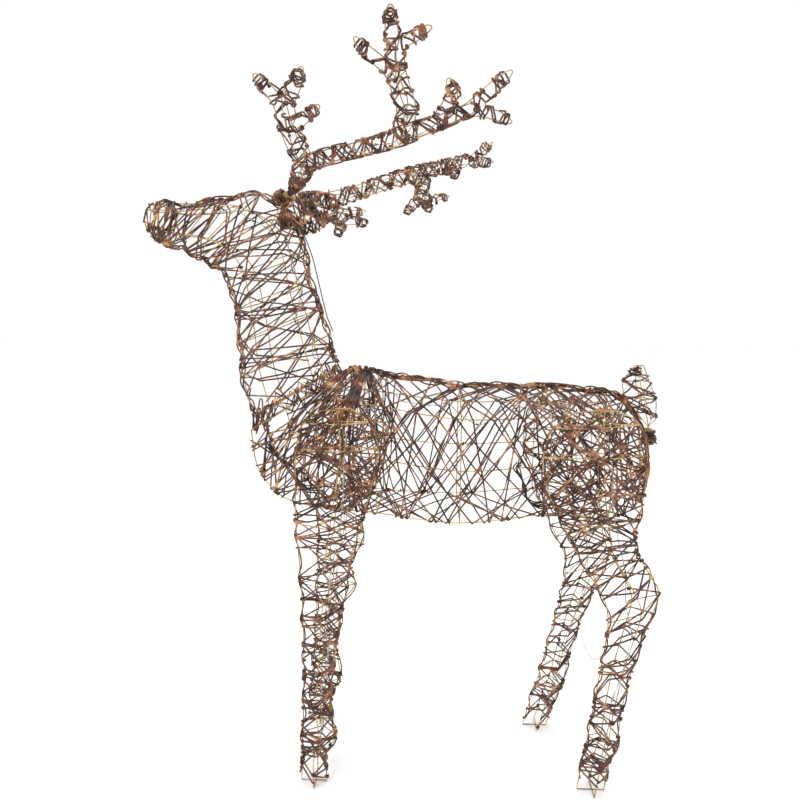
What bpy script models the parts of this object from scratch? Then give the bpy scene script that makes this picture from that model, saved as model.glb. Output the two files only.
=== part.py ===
"""Light-up yard reindeer.

A standing reindeer of welded steel rod cages. Every cage is wound with plastic-coated wire and
holds a string of small lamps. Metres, +Z up, the head looks towards -X, and the deer's left
side is -Y. The origin is on the ground, in the middle of the whole object's box.
"""
import math

import bmesh
import bpy
from mathutils import Matrix, Vector

# ---- driving sizes ---------------------------------------------------------------------------
ROD = 0.0013                 # half thickness of a frame rod
WIRE = 0.0010                # half thickness of the wound wire
LEAD = 0.0008                # half thickness of a light string's own wire
LEAD_R = 0.0010              # half thickness of the antler lead
TIE = 0.0009                 # half thickness of a cable tie
TIE_ROOM = 0.0052            # a tie's half width, and its reach past a rod
LAMP_R = 0.0024
LAMP_HALF = 0.004            # half length of a lamp
LAMP_START = 0.06            # first and last lamp, as shares of a cage's length
LAMP_END = 0.93
LAMP_SWING = (0.7, -0.2, -0.9, 0.3)    # the lamps stand to the right and left of the back rod
LAMP_REACH = 0.72            # how far out they stand, from a cage's middle to its rods
LEG_LAMP_REACH = 0.34        # the same in a leg
GAP = 0.0003                 # clearance between neighbouring pieces
LEG_TURNS = 6
DIAMOND_MITRE = 1.35         # a diamond's corners stand further out than its sides
WIND_OFF = 0.0052            # wound wire's centre line, outside the rod's centre line
CROSS_ROD = 0.90             # a ring's rod over a lengthwise rod, so that their faces never coincide
FACE_ROD = 0.97              # and the same for an antler's or an ear's middle rods
FLAT_ANGLE = 3.0             # faces of a frame that bend less than this are joined, in degrees
TIE_PLACE = 0.45             # a neck tie's place along the neck ring's side
BOX_CENTRE = Vector((0.00418, 0.0114, 0.0))   # middle of the object's box, seen from above

# A cage is a row of sections. Each section is given by its front or lower end (x, z), its back
# or upper end (x, z), and its half width across the deer. Legs add the sideways place of their
# middle.
TORSO = [
    (-0.272, 0.668, -0.110, 0.767, 0.070),
    (-0.255, 0.597, -0.092, 0.776, 0.086),
    (-0.195, 0.541, -0.070, 0.776, 0.094),
    (-0.038, 0.522, -0.040, 0.771, 0.100),
    (0.112, 0.511, 0.113, 0.748, 0.121),
    (0.265, 0.526, 0.272, 0.747, 0.110),
    (0.380, 0.518, 0.383, 0.736, 0.094),
    (0.437, 0.543, 0.427, 0.714, 0.071),
    (0.461, 0.600, 0.459, 0.655, 0.028),
]
NECK_HEAD = [
    (-0.281, 0.684, -0.116, 0.780, 0.068),
    (-0.300, 0.762, -0.136, 0.840, 0.062),
    (-0.304, 0.825, -0.150, 0.889, 0.058),
    (-0.309, 0.887, -0.167, 0.938, 0.053),
    (-0.322, 0.943, -0.177, 0.995, 0.050),
    (-0.348, 0.970, -0.198, 1.056, 0.050),
    (-0.376, 0.984, -0.262, 1.099, 0.049),
    (-0.404, 0.999, -0.330, 1.090, 0.043),
    (-0.432, 1.008, -0.388, 1.083, 0.034),
    (-0.456, 1.018, -0.440, 1.085, 0.026),
    (-0.475, 1.040, -0.468, 1.080, 0.014),
]
FRONT_LEG = [
    (-0.128, 0.718, -0.078, 0.722, 0.010, 0.1375),
    (-0.160, 0.695, -0.046, 0.698, 0.018, 0.138),
    (-0.173, 0.650, -0.030, 0.652, 0.024, 0.138),
    (-0.176, 0.585, -0.042, 0.590, 0.027, 0.138),
    (-0.178, 0.515, -0.062, 0.512, 0.031, 0.130),
    (-0.175, 0.445, -0.083, 0.444, 0.032, 0.122),
    (-0.173, 0.400, -0.075, 0.400, 0.032, 0.118),
    (-0.172, 0.360, -0.099, 0.358, 0.030, 0.115),
    (-0.172, 0.265, -0.114, 0.262, 0.028, 0.109),
    (-0.175, 0.165, -0.126, 0.165, 0.026, 0.105),
    (-0.178, 0.100, -0.116, 0.095, 0.025, 0.103),
    (-0.180, 0.060, -0.134, 0.058, 0.024, 0.102),
    (-0.182, 0.0009, -0.134, 0.0009, 0.023, 0.102),
]
REAR_LEG = [
    (0.305, 0.718, 0.372, 0.722, 0.010, 0.136),
    (0.268, 0.690, 0.412, 0.698, 0.018, 0.137),
    (0.252, 0.640, 0.426, 0.645, 0.024, 0.138),
    (0.262, 0.580, 0.424, 0.582, 0.026, 0.138),
    (0.290, 0.522, 0.418, 0.528, 0.030, 0.132),
    (0.314, 0.472, 0.416, 0.485, 0.032, 0.125),
    (0.348, 0.415, 0.428, 0.458, 0.032, 0.120),
    (0.371, 0.375, 0.447, 0.425, 0.032, 0.117),
    (0.378, 0.335, 0.464, 0.390, 0.031, 0.115),
    (0.375, 0.290, 0.446, 0.322, 0.029, 0.112),
    (0.369, 0.240, 0.427, 0.253, 0.028, 0.109),
    (0.360, 0.165, 0.412, 0.166, 0.026, 0.105),
    (0.353, 0.110, 0.406, 0.092, 0.025, 0.103),
    (0.345, 0.062, 0.394, 0.058, 0.024, 0.102),
    (0.336, 0.0009, 0.386, 0.0009, 0.023, 0.102),
]
HIP_HEIGHT = 0.62            # a leg leans from here down
FRONT_LEAN = 0.035           # forward lean of the right front leg, in metres per metre
REAR_LEAN = 0.125            # forward lean of the right rear leg

# Where the lengthwise rods stand in a section: along it from -1 to 1, and across it from -1 to 1
TORSO_RODS = [(1, 0), (0.60, 0.94), (-0.16, 1), (-1, 0.84), (-1, -0.84), (-0.16, -1), (0.60, -0.94)]
NECK_RODS = [(1, 0), (0.55, 0.85), (-0.45, 0.90), (-1, 0), (-0.45, -0.90), (0.55, -0.85)]
LEG_RODS = [(-1, 0), (0.12, -1), (1, 0), (0.12, 1)]
LEG_RINGS = (0, 2, 6, 10)    # the sections that have a ring of rod round them
TORSO_RINGS = (0, 1, 3, 5, 7, 8)
NECK_RINGS = (0, 3, 5, 7, 10)
BRACKET_ROW = 5              # the head section that carries the antler bracket

# Antler in its own plane: each branch has its two children, front or upper one first, and a row
# of (backward, outward, half width). A tip has no children.
ANTLER_BRANCHES = {
    "stem": (("brow", "beam"), [(0.008, 0.013, 0.009), (0.021, 0.040, 0.014), (0.036, 0.074, 0.018)]),
    "brow": (("brow_top", "brow_spur"), [(0.029, 0.122, 0.017), (0.026, 0.160, 0.017)]),
    "brow_top": (("brow_front", "brow_back"), [(0.026, 0.208, 0.015)]),
    "brow_spur": ((), [(0.061, 0.187, 0.009), (0.080, 0.206, 0.004)]),
    "brow_front": ((), [(0.004, 0.246, 0.009), (-0.006, 0.268, 0.004)]),
    "brow_back": ((), [(0.052, 0.250, 0.010), (0.066, 0.279, 0.004)]),
    "beam": (("crown", "rear_beam"), [(0.086, 0.096, 0.015), (0.122, 0.107, 0.015),
                                      (0.158, 0.118, 0.015), (0.200, 0.136, 0.017)]),
    "crown": (("crown_front", "crown_top"), [(0.215, 0.192, 0.015), (0.208, 0.228, 0.015),
                                                  (0.201, 0.264, 0.014)]),
    "crown_front": ((), [(0.164, 0.302, 0.009), (0.147, 0.328, 0.004)]),
    "crown_top": (("crown_tip", "crown_back"), [(0.202, 0.310, 0.012)]),
    "crown_tip": ((), [(0.198, 0.350, 0.008), (0.199, 0.377, 0.004)]),
    "crown_back": ((), [(0.234, 0.330, 0.008), (0.252, 0.343, 0.004)]),
    "rear_beam": (("rear_up", "rear_end"), [(0.262, 0.167, 0.014)]),
    "rear_up": ((), [(0.284, 0.220, 0.009), (0.277, 0.254, 0.004)]),
    "rear_end": (("rear_high", "rear_low"), [(0.310, 0.193, 0.012)]),
    "rear_high": ((), [(0.346, 0.240, 0.010), (0.367, 0.266, 0.004)]),
    "rear_low": ((), [(0.352, 0.180, 0.010), (0.376, 0.164, 0.004)]),
}
ANTLER_RINGS = (("stem", 1), ("beam", 1), ("crown", 0))
ANTLER_FOOT = Vector((-0.193, 0.030, 1.098))     # right antler's foot; the left one mirrors it
ANTLER_SPLAY = math.radians(60)                  # the antler's plane leans out from upright
ANTLER_AXIS = Vector((0.86, 0.43, 0.28)).normalized()   # right antler's stem and socket
RIGHT_TURN = math.radians(-48)                   # the right antler is turned out in its socket
ANTLER_DEPTH = 0.95                              # antler thickness across its plane, over its width

STEM = 0.0017                # half thickness of a plug-in stem
BORE = 0.0028                # hole radius that a stem turns in
SLEEVE_R = 0.0041            # plastic sleeve between an antler stem and its socket
FLANGE_R = 0.0062
SOCKET_BORE = 0.0044
SOCKET_R = 0.0058
STEM_DEPTH = 0.034           # how far a stem goes in, from the antler's foot
SLEEVE_SPAN = (-0.036, -0.004)
FLANGE_T = 0.002
SOCKET_SPAN = (-0.0325, -0.0065)
BRACKET_DROP = 0.0096        # head bracket, below a socket's middle

# The tail, and the socket that its prong stands in
TAIL = [
    (0.452, 0.687, 0.478, 0.684, 0.013),
    (0.421, 0.728, 0.477, 0.722, 0.018),
    (0.416, 0.757, 0.463, 0.757, 0.016),
    (0.436, 0.786, 0.452, 0.786, 0.007),
]
TAIL_FOOT = Vector((0.4655, 0.0, 0.672))
TAIL_AXIS = Vector((-0.08, 0.0, 1.0)).normalized()
TAIL_DEPTH = 0.030
TAIL_SOCKET_SPAN = (-0.034, -0.004)

# The right ear: its root, the way it points, the way its width runs, and its outline as
# (share of the length, half width, hollow)
EAR_ROOT = Vector((-0.214, 0.049, 1.040))
EAR_WAY = Vector((0.80, 0.42, 0.34)).normalized()
EAR_WIDE = Vector((-0.36, 0.10, 0.93)).normalized()
EAR_LENGTH = 0.088
EAR_WIND = 0.0042            # an ear's wound wire, outside its rods
EAR_TURNS = 5
EAR_SHAPE = [(0.0, 0.006, 0.0005), (0.3, 0.017, 0.004), (0.62, 0.019, 0.005), (0.85, 0.011, 0.003)]

# Leads that hang outside the cages, and the connectors
ANTLER_LEAD = [(-0.186, -0.020, 1.050), (-0.172, -0.024, 1.020), (-0.158, -0.026, 0.982),
               (-0.149, -0.026, 0.944), (-0.141, -0.025, 0.908), (-0.133, -0.023, 0.874),
               (-0.124, -0.020, 0.850)]
REAR_LEG_LEAD = [(0.366, 0.078, 0.236), (0.372, 0.050, 0.214), (0.376, 0.015, 0.206),
                 (0.380, -0.022, 0.216), (0.384, -0.052, 0.240), (0.388, -0.076, 0.272)]
LEAD_SMOOTH = 3              # points between two of a lead's own points
CONNECTOR_HALF = 0.016
CONNECTORS = {
    "chest": (Vector((-0.214, -0.030, 0.600)), Vector((0.75, 0.10, -0.45)).normalized()),
    "hip": (Vector((0.232, -0.052, 0.562)), Vector((0.25, 0.05, -1.0)).normalized()),
}

PARTS = None


# ---- scene helpers ---------------------------------------------------------------------------
def clear_scene():
    for obj in list(bpy.data.objects):
        bpy.data.objects.remove(obj, do_unlink=True)


def collection_named(name):
    collection = bpy.data.collections.new(name)
    bpy.context.scene.collection.children.link(collection)
    return collection


def material(name, colour, roughness, metallic=0.0):
    found = bpy.data.materials.get(name)
    if found:
        return found
    made = bpy.data.materials.new(name)
    made.use_nodes = True
    shader = made.node_tree.nodes["Principled BSDF"]
    shader.inputs["Base Color"].default_value = (*colour, 1.0)
    shader.inputs["Roughness"].default_value = roughness
    shader.inputs["Metallic"].default_value = metallic
    made.diffuse_color = (*colour, 1.0)
    return made


def steel():
    return material("tan_steel", (0.42, 0.32, 0.17), 0.42, 0.6)


def brown_wire():
    return material("brown_wire", (0.07, 0.035, 0.02), 0.35)


def clear_wire():
    return material("lamp_wire", (0.45, 0.38, 0.28), 0.3)


def black_plastic():
    return material("black_plastic", (0.012, 0.012, 0.013), 0.4)


def add_object(name, data, finish, collection=None):
    obj = bpy.data.objects.new(name, data)
    (collection or PARTS).objects.link(obj)
    data.materials.append(finish)
    return obj


# ---- shape tools -----------------------------------------------------------------------------
def rod_mesh(name, points, half, cyclic, collection):
    """A square rod along points, as a closed mesh."""
    curve = bpy.data.curves.new(name, "CURVE")
    curve.dimensions = "3D"
    curve.bevel_depth = half * math.sqrt(2)
    curve.bevel_resolution = 0
    curve.use_fill_caps = True
    spline = curve.splines.new("POLY")
    spline.points.add(len(points) - 1)
    for spot, point in zip(spline.points, points):
        spot.co = (*point, 1.0)
    spline.use_cyclic_u = cyclic
    line = bpy.data.objects.new(name + "_line", curve)
    collection.objects.link(line)
    mesh = bpy.data.meshes.new_from_object(line.evaluated_get(bpy.context.evaluated_depsgraph_get()))
    bpy.data.objects.remove(line, do_unlink=True)
    shape = bmesh.new()
    shape.from_mesh(mesh)
    bmesh.ops.remove_doubles(shape, verts=shape.verts, dist=0.00001)
    bmesh.ops.recalc_face_normals(shape, faces=shape.faces)
    shape.to_mesh(mesh)
    shape.free()
    obj = bpy.data.objects.new(name, mesh)
    collection.objects.link(obj)
    return obj


def welded_rods(name, rods, finish):
    """Rods of (points, half thickness, closed), welded where they cross, as one closed body."""
    pieces = collection_named(name + "_rods")
    for number, (points, half, cyclic) in enumerate(rods[1:]):
        rod_mesh(f"{name}_rod_{number}", points, half, cyclic, pieces)
    first = rod_mesh(name + "_first", *rods[0], PARTS)
    weld = first.modifiers.new("weld", "BOOLEAN")
    weld.operation = "UNION"
    weld.operand_type = "COLLECTION"
    weld.collection = pieces
    weld.solver = "EXACT"
    mesh = bpy.data.meshes.new_from_object(first.evaluated_get(bpy.context.evaluated_depsgraph_get()))
    for obj in [first] + list(pieces.objects):
        bpy.data.objects.remove(obj, do_unlink=True)
    bpy.data.collections.remove(pieces)
    obj = add_object(name, mesh, finish)
    plain = obj.modifiers.new("plain", "DECIMATE")
    plain.decimate_type = "DISSOLVE"
    plain.angle_limit = math.radians(FLAT_ANGLE)
    return obj


def wire_curve(name, points, radius, finish, sides=0):
    """A wire along points: sides is the bevel resolution, 0 for four sides."""
    curve = bpy.data.curves.new(name, "CURVE")
    curve.dimensions = "3D"
    curve.bevel_depth = radius
    curve.bevel_resolution = sides
    curve.use_fill_caps = True
    spline = curve.splines.new("POLY")
    spline.points.add(len(points) - 1)
    for spot, point in zip(spline.points, points):
        spot.co = (*point, 1.0)
    return add_object(name, curve, finish)


# ---- cages -----------------------------------------------------------------------------------
def section_frames(table, side=0.0, lean=0.0):
    """Middle, half length along, direction along, half width for each section of a table."""
    frames = []
    for row in table:
        x1, z1, x2, z2, width = row[:5]
        middle_y = side * row[5] if len(row) > 5 else 0.0
        x1 -= lean * max(0.0, HIP_HEIGHT - z1)
        x2 -= lean * max(0.0, HIP_HEIGHT - z2)
        low = Vector((x1, middle_y, z1))
        high = Vector((x2, middle_y, z2))
        along = (high - low).normalized()
        frames.append(((low + high) / 2, (high - low).length / 2, along, width))
    return frames


def outline(frame, rods, side=1.0):
    """The rods' places in one section, as (along, across) in metres."""
    _, half, _, width = frame
    return [(a * half, b * width * side) for a, b in rods]


def place(frame, flat):
    middle, _, along, _ = frame
    return middle + along * flat[0] + Vector((0.0, flat[1], 0.0))


def grown(flat, distance):
    """A convex outline moved outwards by a distance, its corners mitred."""
    count = len(flat)
    turn = sum(flat[i][0] * flat[(i + 1) % count][1] - flat[(i + 1) % count][0] * flat[i][1]
               for i in range(count))
    sign = 1.0 if turn > 0 else -1.0
    normals = []
    for i in range(count):
        step = Vector(flat[(i + 1) % count]) - Vector(flat[i])
        normals.append(Vector((step.y, -step.x)).normalized() * sign)
    moved = []
    for i in range(count):
        before, after = normals[i - 1], normals[i]
        shift = (before + after) * (distance / (1.0 + before.dot(after)))
        moved.append((flat[i][0] + shift.x, flat[i][1] + shift.y))
    return moved


def winding(rows, turns, start=0.0, end=1.0, phase=0):
    """A wire that winds round rows of corners, with a point at every rod and every ring."""
    count = len(rows[0])
    middles = [sum(row, Vector()) / count for row in rows]
    reach = [0.0]
    for a, b in zip(middles, middles[1:]):
        reach.append(reach[-1] + (b - a).length)

    def where(share):
        wanted = reach[-1] * share
        r = max(i for i in range(len(reach) - 1) if reach[i] <= wanted + 1e-9)
        return r + (wanted - reach[r]) / (reach[r + 1] - reach[r])

    def on_rod(i, spot):
        r = min(int(spot), len(rows) - 2)
        return rows[r][i % count].lerp(rows[r + 1][i % count], spot - r)

    steps = int(round(turns * count))
    path = []
    for k in range(steps + 1):
        here = where(start + (end - start) * k / steps)
        path.append(on_rod(k + phase, here))
        if k == steps:
            break
        there = where(start + (end - start) * (k + 1) / steps)
        for ring in range(int(math.floor(here)) + 1, int(math.ceil(there))):
            if ring - here > 0.02 and there - ring > 0.02:
                part = (ring - here) / (there - here)
                path.append(rows[ring][(k + phase) % count].lerp(rows[ring][(k + 1 + phase) % count], part))
    return path


def lamp_string(name, frames, count, reach, before=(), after=()):
    """A light string inside a cage, along its back, with a lamp at each of its turning points."""
    middles = [frame[0] for frame in frames]
    total = [0.0]
    for a, b in zip(middles, middles[1:]):
        total.append(total[-1] + (b - a).length)
    spots = []
    for k in range(count):
        wanted = total[-1] * (LAMP_START + (LAMP_END - LAMP_START) * k / (count - 1))
        r = max(i for i in range(len(total) - 1) if total[i] <= wanted)
        part = (wanted - total[r]) / (total[r + 1] - total[r])
        middle = middles[r].lerp(middles[r + 1], part)
        half = frames[r][1] * (1 - part) + frames[r + 1][1] * part
        along = frames[r][2].lerp(frames[r + 1][2], part).normalized()
        width = frames[r][3] * (1 - part) + frames[r + 1][3] * part
        turn = LAMP_SWING[k % len(LAMP_SWING)]
        ray = along * (half * math.cos(turn)) + Vector((0, width * math.sin(turn), 0))
        spots.append(middle + ray * reach)
    return beaded(name, spots, before, after)


def beaded(name, spots, before=(), after=()):
    """A thin wire through spots, with a lamp as a bead at each spot."""
    points, sizes = [Vector(p) for p in before], [1.0] * len(before)
    for k, spot in enumerate(spots):
        way = (spots[min(k + 1, len(spots) - 1)] - spots[max(k - 1, 0)]).normalized()
        for step, size in ((-LAMP_HALF, 1.0), (0.0, LAMP_R / LEAD), (LAMP_HALF, 1.0)):
            points.append(spot + way * step)
            sizes.append(size)
    points += [Vector(p) for p in after]
    sizes += [1.0] * len(after)
    obj = wire_curve(name, points, LEAD, clear_wire())
    for spot, size in zip(obj.data.splines[0].points, sizes):
        spot.radius = size
    return obj


# ---- turned pieces and loops -------------------------------------------------------------------
def turned(name, profile, foot, axis, finish, closed=True, steps=12):
    """A turned piece: profile is (radius, height) down its outer side and back up."""
    mesh = bpy.data.meshes.new(name)
    edges = [(i, i + 1) for i in range(len(profile) - 1)]
    if closed:
        edges.append((len(profile) - 1, 0))
    mesh.from_pydata([(r, 0.0, h) for r, h in profile], edges, [])
    obj = add_object(name, mesh, finish)
    screw = obj.modifiers.new("turn", "SCREW")
    screw.axis = "Z"
    screw.steps = steps
    screw.render_steps = steps
    screw.use_merge_vertices = True
    screw.merge_threshold = 0.00001
    obj.location = foot
    obj.rotation_mode = "QUATERNION"
    obj.rotation_quaternion = Vector((0, 0, 1)).rotation_difference(axis)
    return obj


def tube(name, outer, inner, span, foot, axis, finish):
    low, high = span
    return turned(name, [(outer, high), (outer, low), (inner, low), (inner, high)], foot, axis, finish)


def tie(name, middle, long_way, short_way, half_long, half_short):
    """A cable tie: a closed loop round two rods."""
    points = []
    for k in range(8):
        turn = 2 * math.pi * (k + 0.5) / 8
        bend = half_short * math.cos(turn) / math.cos(math.pi / 8)
        reach = math.copysign(half_long - half_short, math.sin(turn)) + half_short * math.sin(turn)
        points.append(middle + short_way * bend + long_way * reach)
    obj = wire_curve(name, points, TIE, black_plastic())
    obj.data.splines[0].use_cyclic_u = True
    return obj


def crossing(rod_a, rod_b):
    """Where two rods cross, seen from the side: the point on each."""
    for a0, a1 in zip(rod_a, rod_a[1:]):
        for b0, b1 in zip(rod_b, rod_b[1:]):
            da, db, gap = a1 - a0, b1 - b0, b0 - a0
            across = da.x * db.z - da.z * db.x
            if abs(across) < 1e-9:
                continue
            s = (gap.x * db.z - gap.z * db.x) / across
            t = (gap.x * da.z - gap.z * da.x) / across
            if 0 <= s <= 1 and 0 <= t <= 1:
                return a0 + da * s, b0 + db * t
    raise ValueError("the rods don't cross")


def smooth(points, between):
    """A smooth curve through points, with more points between them."""
    route = [Vector(p) for p in points]
    route = [route[0] * 2 - route[1]] + route + [route[-1] * 2 - route[-2]]
    out = []
    for i in range(1, len(route) - 2):
        p0, p1, p2, p3 = route[i - 1:i + 3]
        for k in range(between):
            t = k / between
            out.append(0.5 * (2 * p1 + (p2 - p0) * t + (2 * p0 - 5 * p1 + 4 * p2 - p3) * t * t
                              + (3 * p1 - 3 * p2 + p3 - p0) * t ** 3))
    out.append(route[-2])
    return out


# ---- sub-parts ---------------------------------------------------------------------------------
def body_cage(name, table, rods, ring_rows, turns, lamps, posts, leads, start, end):
    """Frame, winding and light string of the torso, or of the neck and head."""
    frames = section_frames(table)
    rows = [[place(f, p) for p in outline(f, rods)] for f in frames]
    steel_rods = [(rod, ROD, False) for rod in zip(*rows)]
    steel_rods += [(rows[r], ROD * CROSS_ROD, True) for r in ring_rows]
    if posts:
        bracket = [rows[BRACKET_ROW][-1], *posts, rows[BRACKET_ROW][1]]
        steel_rods.append((bracket, ROD * FACE_ROD, False))
    welded_rods(f"{name}_frame", steel_rods, steel())
    outer = [[place(f, p) for p in grown(outline(f, rods), WIND_OFF)] for f in frames]
    wire_curve(f"{name}_wrap", winding(outer, turns, start, end), WIRE, brown_wire())
    lamp_string(f"{name}_light_string", frames, lamps, LAMP_REACH, *leads)
    return rows


def leg(name, table, side, lean):
    """Frame, winding and light string of a leg."""
    frames = section_frames(table, side, lean)
    rows = [[place(f, p) for p in outline(f, LEG_RODS, side)] for f in frames]
    front, inner, back, outer = [list(rod) for rod in zip(*rows)]
    rods = [(front + back[::-1], ROD, False), (inner + outer[::-1], ROD * FACE_ROD, False)]
    rods += [(rows[r], ROD * CROSS_ROD, True) for r in LEG_RINGS]
    frame = welded_rods(f"{name}_frame", rods, steel())
    level = frame.modifiers.new("level_foot", "BOOLEAN")
    level.object = bpy.data.objects["ground_cutter"]
    swollen = [[place(f, p) for p in grown(outline(f, LEG_RODS, side), WIND_OFF)] for f in frames]
    wire_curve(f"{name}_wrap", winding(swollen, LEG_TURNS, 0.165, 0.95), WIRE, brown_wire())
    lamp_string(f"{name}_light_string", frames, 6, LEG_LAMP_REACH)
    return inner


def ground_cutter():
    """A block under the ground, which levels the feet."""
    cutters = collection_named("cutters")
    bpy.ops.mesh.primitive_cube_add(size=1.0)
    block = bpy.context.object
    block.name = "ground_cutter"
    for other in list(block.users_collection):
        other.objects.unlink(block)
    cutters.objects.link(block)
    block.scale = (1.4, 0.6, 0.02)
    block.location = (0.0, 0.0, -0.01)
    block.hide_render = True
    block.display_type = "WIRE"


def leg_ties(name, inner_rod, torso_rods):
    """The cable ties that hold a leg's inner rod to the torso's side rods."""
    diagonal = Vector((1.0, 0.0, 1.0)).normalized()
    for word, rod in torso_rods:
        on_leg, on_torso = crossing(inner_rod, rod)
        half = abs(on_leg.y - on_torso.y) / 2 + TIE_ROOM
        tie(f"{name}_{word}_tie", (on_leg + on_torso) / 2, Vector((0, 1, 0)), diagonal, half, TIE_ROOM)


def antler_frame_of(side):
    """Turns a point of the antler's own plane, with its depth, into a place on the deer."""
    foot = Vector((ANTLER_FOOT.x, side * ANTLER_FOOT.y, ANTLER_FOOT.z))
    outward = Vector((0, side * math.sin(ANTLER_SPLAY), math.cos(ANTLER_SPLAY)))
    through = Vector((1, 0, 0)).cross(outward)
    axis = Vector((ANTLER_AXIS.x, side * ANTLER_AXIS.y, ANTLER_AXIS.z))
    turn = Matrix.Rotation(RIGHT_TURN if side > 0 else 0.0, 3, axis)

    def to_deer(back, out, deep):
        return foot + turn @ (Vector((back, 0, 0)) + outward * out + through * deep)

    return foot, axis, to_deer


def antler_rows(swell):
    """Each antler branch's rods in its own plane, as rows of four (back, out, deep)."""
    parents = {child: word for word, (children, _) in ANTLER_BRANCHES.items() for child in children}
    rows = {}
    for word, (children, stations) in ANTLER_BRANCHES.items():
        line = [Vector((b, o)) for b, o, _ in stations]
        parent = parents.get(word)
        line.insert(0, Vector(ANTLER_BRANCHES[parent][1][-1][:2]) if parent else Vector((0.0, 0.0)))
        if children:
            starts = [Vector(ANTLER_BRANCHES[child][1][0][:2]) for child in children]
            line.append(sum(starts, Vector((0, 0))) / 2)
        rows[word] = []
        for k, (b, o, wide) in enumerate(stations):
            way = (line[min(k + 2, len(line) - 1)] - line[k]).normalized()
            side = Vector((-way.y, way.x)) * (wide + swell * DIAMOND_MITRE)
            deep = wide * ANTLER_DEPTH + swell * DIAMOND_MITRE
            rows[word].append([(b + side.x, o + side.y, 0.0), (b, o, deep),
                               (b - side.x, o - side.y, 0.0), (b, o, -deep)])
    return rows


def parting(word):
    """Where the facing rods of a branch's two children meet."""
    children, stations = ANTLER_BRANCHES[word]
    fork = Vector(stations[-1][:2])
    lines = []
    for child, turn in zip(children, (-1, 1)):
        b, o, wide = ANTLER_BRANCHES[child][1][0]
        way = (Vector((b, o)) - fork).normalized()
        lines.append((fork + Vector((-way.y, way.x)) * turn * wide, way))
    (p, u), (q, v) = lines
    gap = q - p
    reach = (gap.x * v.y - gap.y * v.x) / (u.x * v.y - u.y * v.x)
    spot = p + u * reach
    return spot.x, spot.y, 0.0


def antler_rods(to_deer, foot):
    """The antler's rods: its outline, the rods on its two faces, and the rings."""
    rows = antler_rows(0.0)
    edge, faces, rings = [foot], [], []

    def grow(word, behind):
        children = ANTLER_BRANCHES[word][0]
        corners = [[to_deer(*spot) for spot in row] for row in rows[word]]
        edge.extend(row[0] for row in corners)
        if children:
            for i in (1, 3):
                faces.append([behind[i]] + [row[i] for row in corners])
            rings.extend(row for k, row in enumerate(corners) if (word, k) in ANTLER_RINGS)
            crotch = to_deer(*parting(word))
            rings.append([corners[-1][1], crotch, corners[-1][3]])
            grow(children[0], corners[-1])
            edge.append(crotch)
            grow(children[1], corners[-1])
        edge.extend(row[2] for row in reversed(corners))

    grow("stem", [foot] * 4)
    rods = [(edge, ROD, True)]
    rods += [(line, ROD * FACE_ROD, False) for line in faces]
    rods += [(ring, ROD * CROSS_ROD, len(ring) == 4) for ring in rings]
    return rods


def antler(word, side):
    """Frame, windings and light string of an antler."""
    foot, axis, to_deer = antler_frame_of(side)
    stem = ([foot - axis * STEM_DEPTH, foot + axis * 0.001], STEM, False)
    made = [welded_rods(f"{word}_antler_frame", [stem] + antler_rods(to_deer, foot), steel())]
    swollen = antler_rows(WIND_OFF)
    for branch, turns in (("brow", 2), ("beam", 5), ("crown", 3)):
        rows = [[to_deer(*spot) for spot in row] for row in swollen[branch]]
        path = winding(rows, turns, 0.12, 0.86)
        made.append(wire_curve(f"{word}_antler_{branch}_wrap", path, WIRE, brown_wire()))
    spots = [to_deer(b, o, 0.0) for branch in ("stem", "beam", "rear_beam")
             for b, o, _ in ANTLER_BRANCHES[branch][1]]
    made.append(beaded(f"{word}_antler_light_string", spots))
    return foot, axis, made


def antler_mount(word, foot, axis):
    """Plastic sleeve that turns in the steel socket on the head."""
    low, high = SLEEVE_SPAN
    profile = [(FLANGE_R, high), (FLANGE_R, high - FLANGE_T), (SLEEVE_R, high - FLANGE_T),
               (SLEEVE_R, low), (BORE, low), (BORE, high)]
    sleeve = turned(f"{word}_antler_sleeve", profile, foot, axis, black_plastic())
    tube(f"{word}_antler_socket", SOCKET_R, SOCKET_BORE, SOCKET_SPAN, foot, axis, steel())
    return sleeve


def ear(word, side):
    """Frame and winding of an ear: a leaf-shaped loop with a midrib."""
    root = Vector((EAR_ROOT.x, side * EAR_ROOT.y, EAR_ROOT.z))
    way = Vector((EAR_WAY.x, side * EAR_WAY.y, EAR_WAY.z))
    wide = Vector((EAR_WIDE.x, side * EAR_WIDE.y, EAR_WIDE.z))
    wide = (wide - way * wide.dot(way)).normalized()
    hollow = way.cross(wide)
    upper, lower, rib = [], [], []
    for share, half, deep in EAR_SHAPE:
        middle = root + way * (EAR_LENGTH * share)
        upper.append(middle + wide * half)
        lower.append(middle - wide * half)
        rib.append(middle + hollow * deep)
    tip = root + way * EAR_LENGTH
    rods = [(upper + [tip] + lower[::-1], ROD, True), (rib + [tip], ROD * FACE_ROD, False)]
    rods += [([upper[k], rib[k], lower[k]], ROD * CROSS_ROD, False) for k in (1, 2)]
    welded_rods(f"{word}_ear_frame", rods, steel())
    rows = []
    for share, half, deep in EAR_SHAPE:
        middle = root + way * (EAR_LENGTH * share)
        flat = [(half, -EAR_WIND), (half + EAR_WIND, 0.0), (half, EAR_WIND), (0.0, deep + EAR_WIND)]
        flat += [(-w, d) for w, d in flat[2::-1]]
        rows.append([middle + wide * w + hollow * d for w, d in flat])
    wire_curve(f"{word}_ear_wrap", winding(rows, EAR_TURNS, 0.14, 0.96), WIRE, brown_wire())


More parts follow.
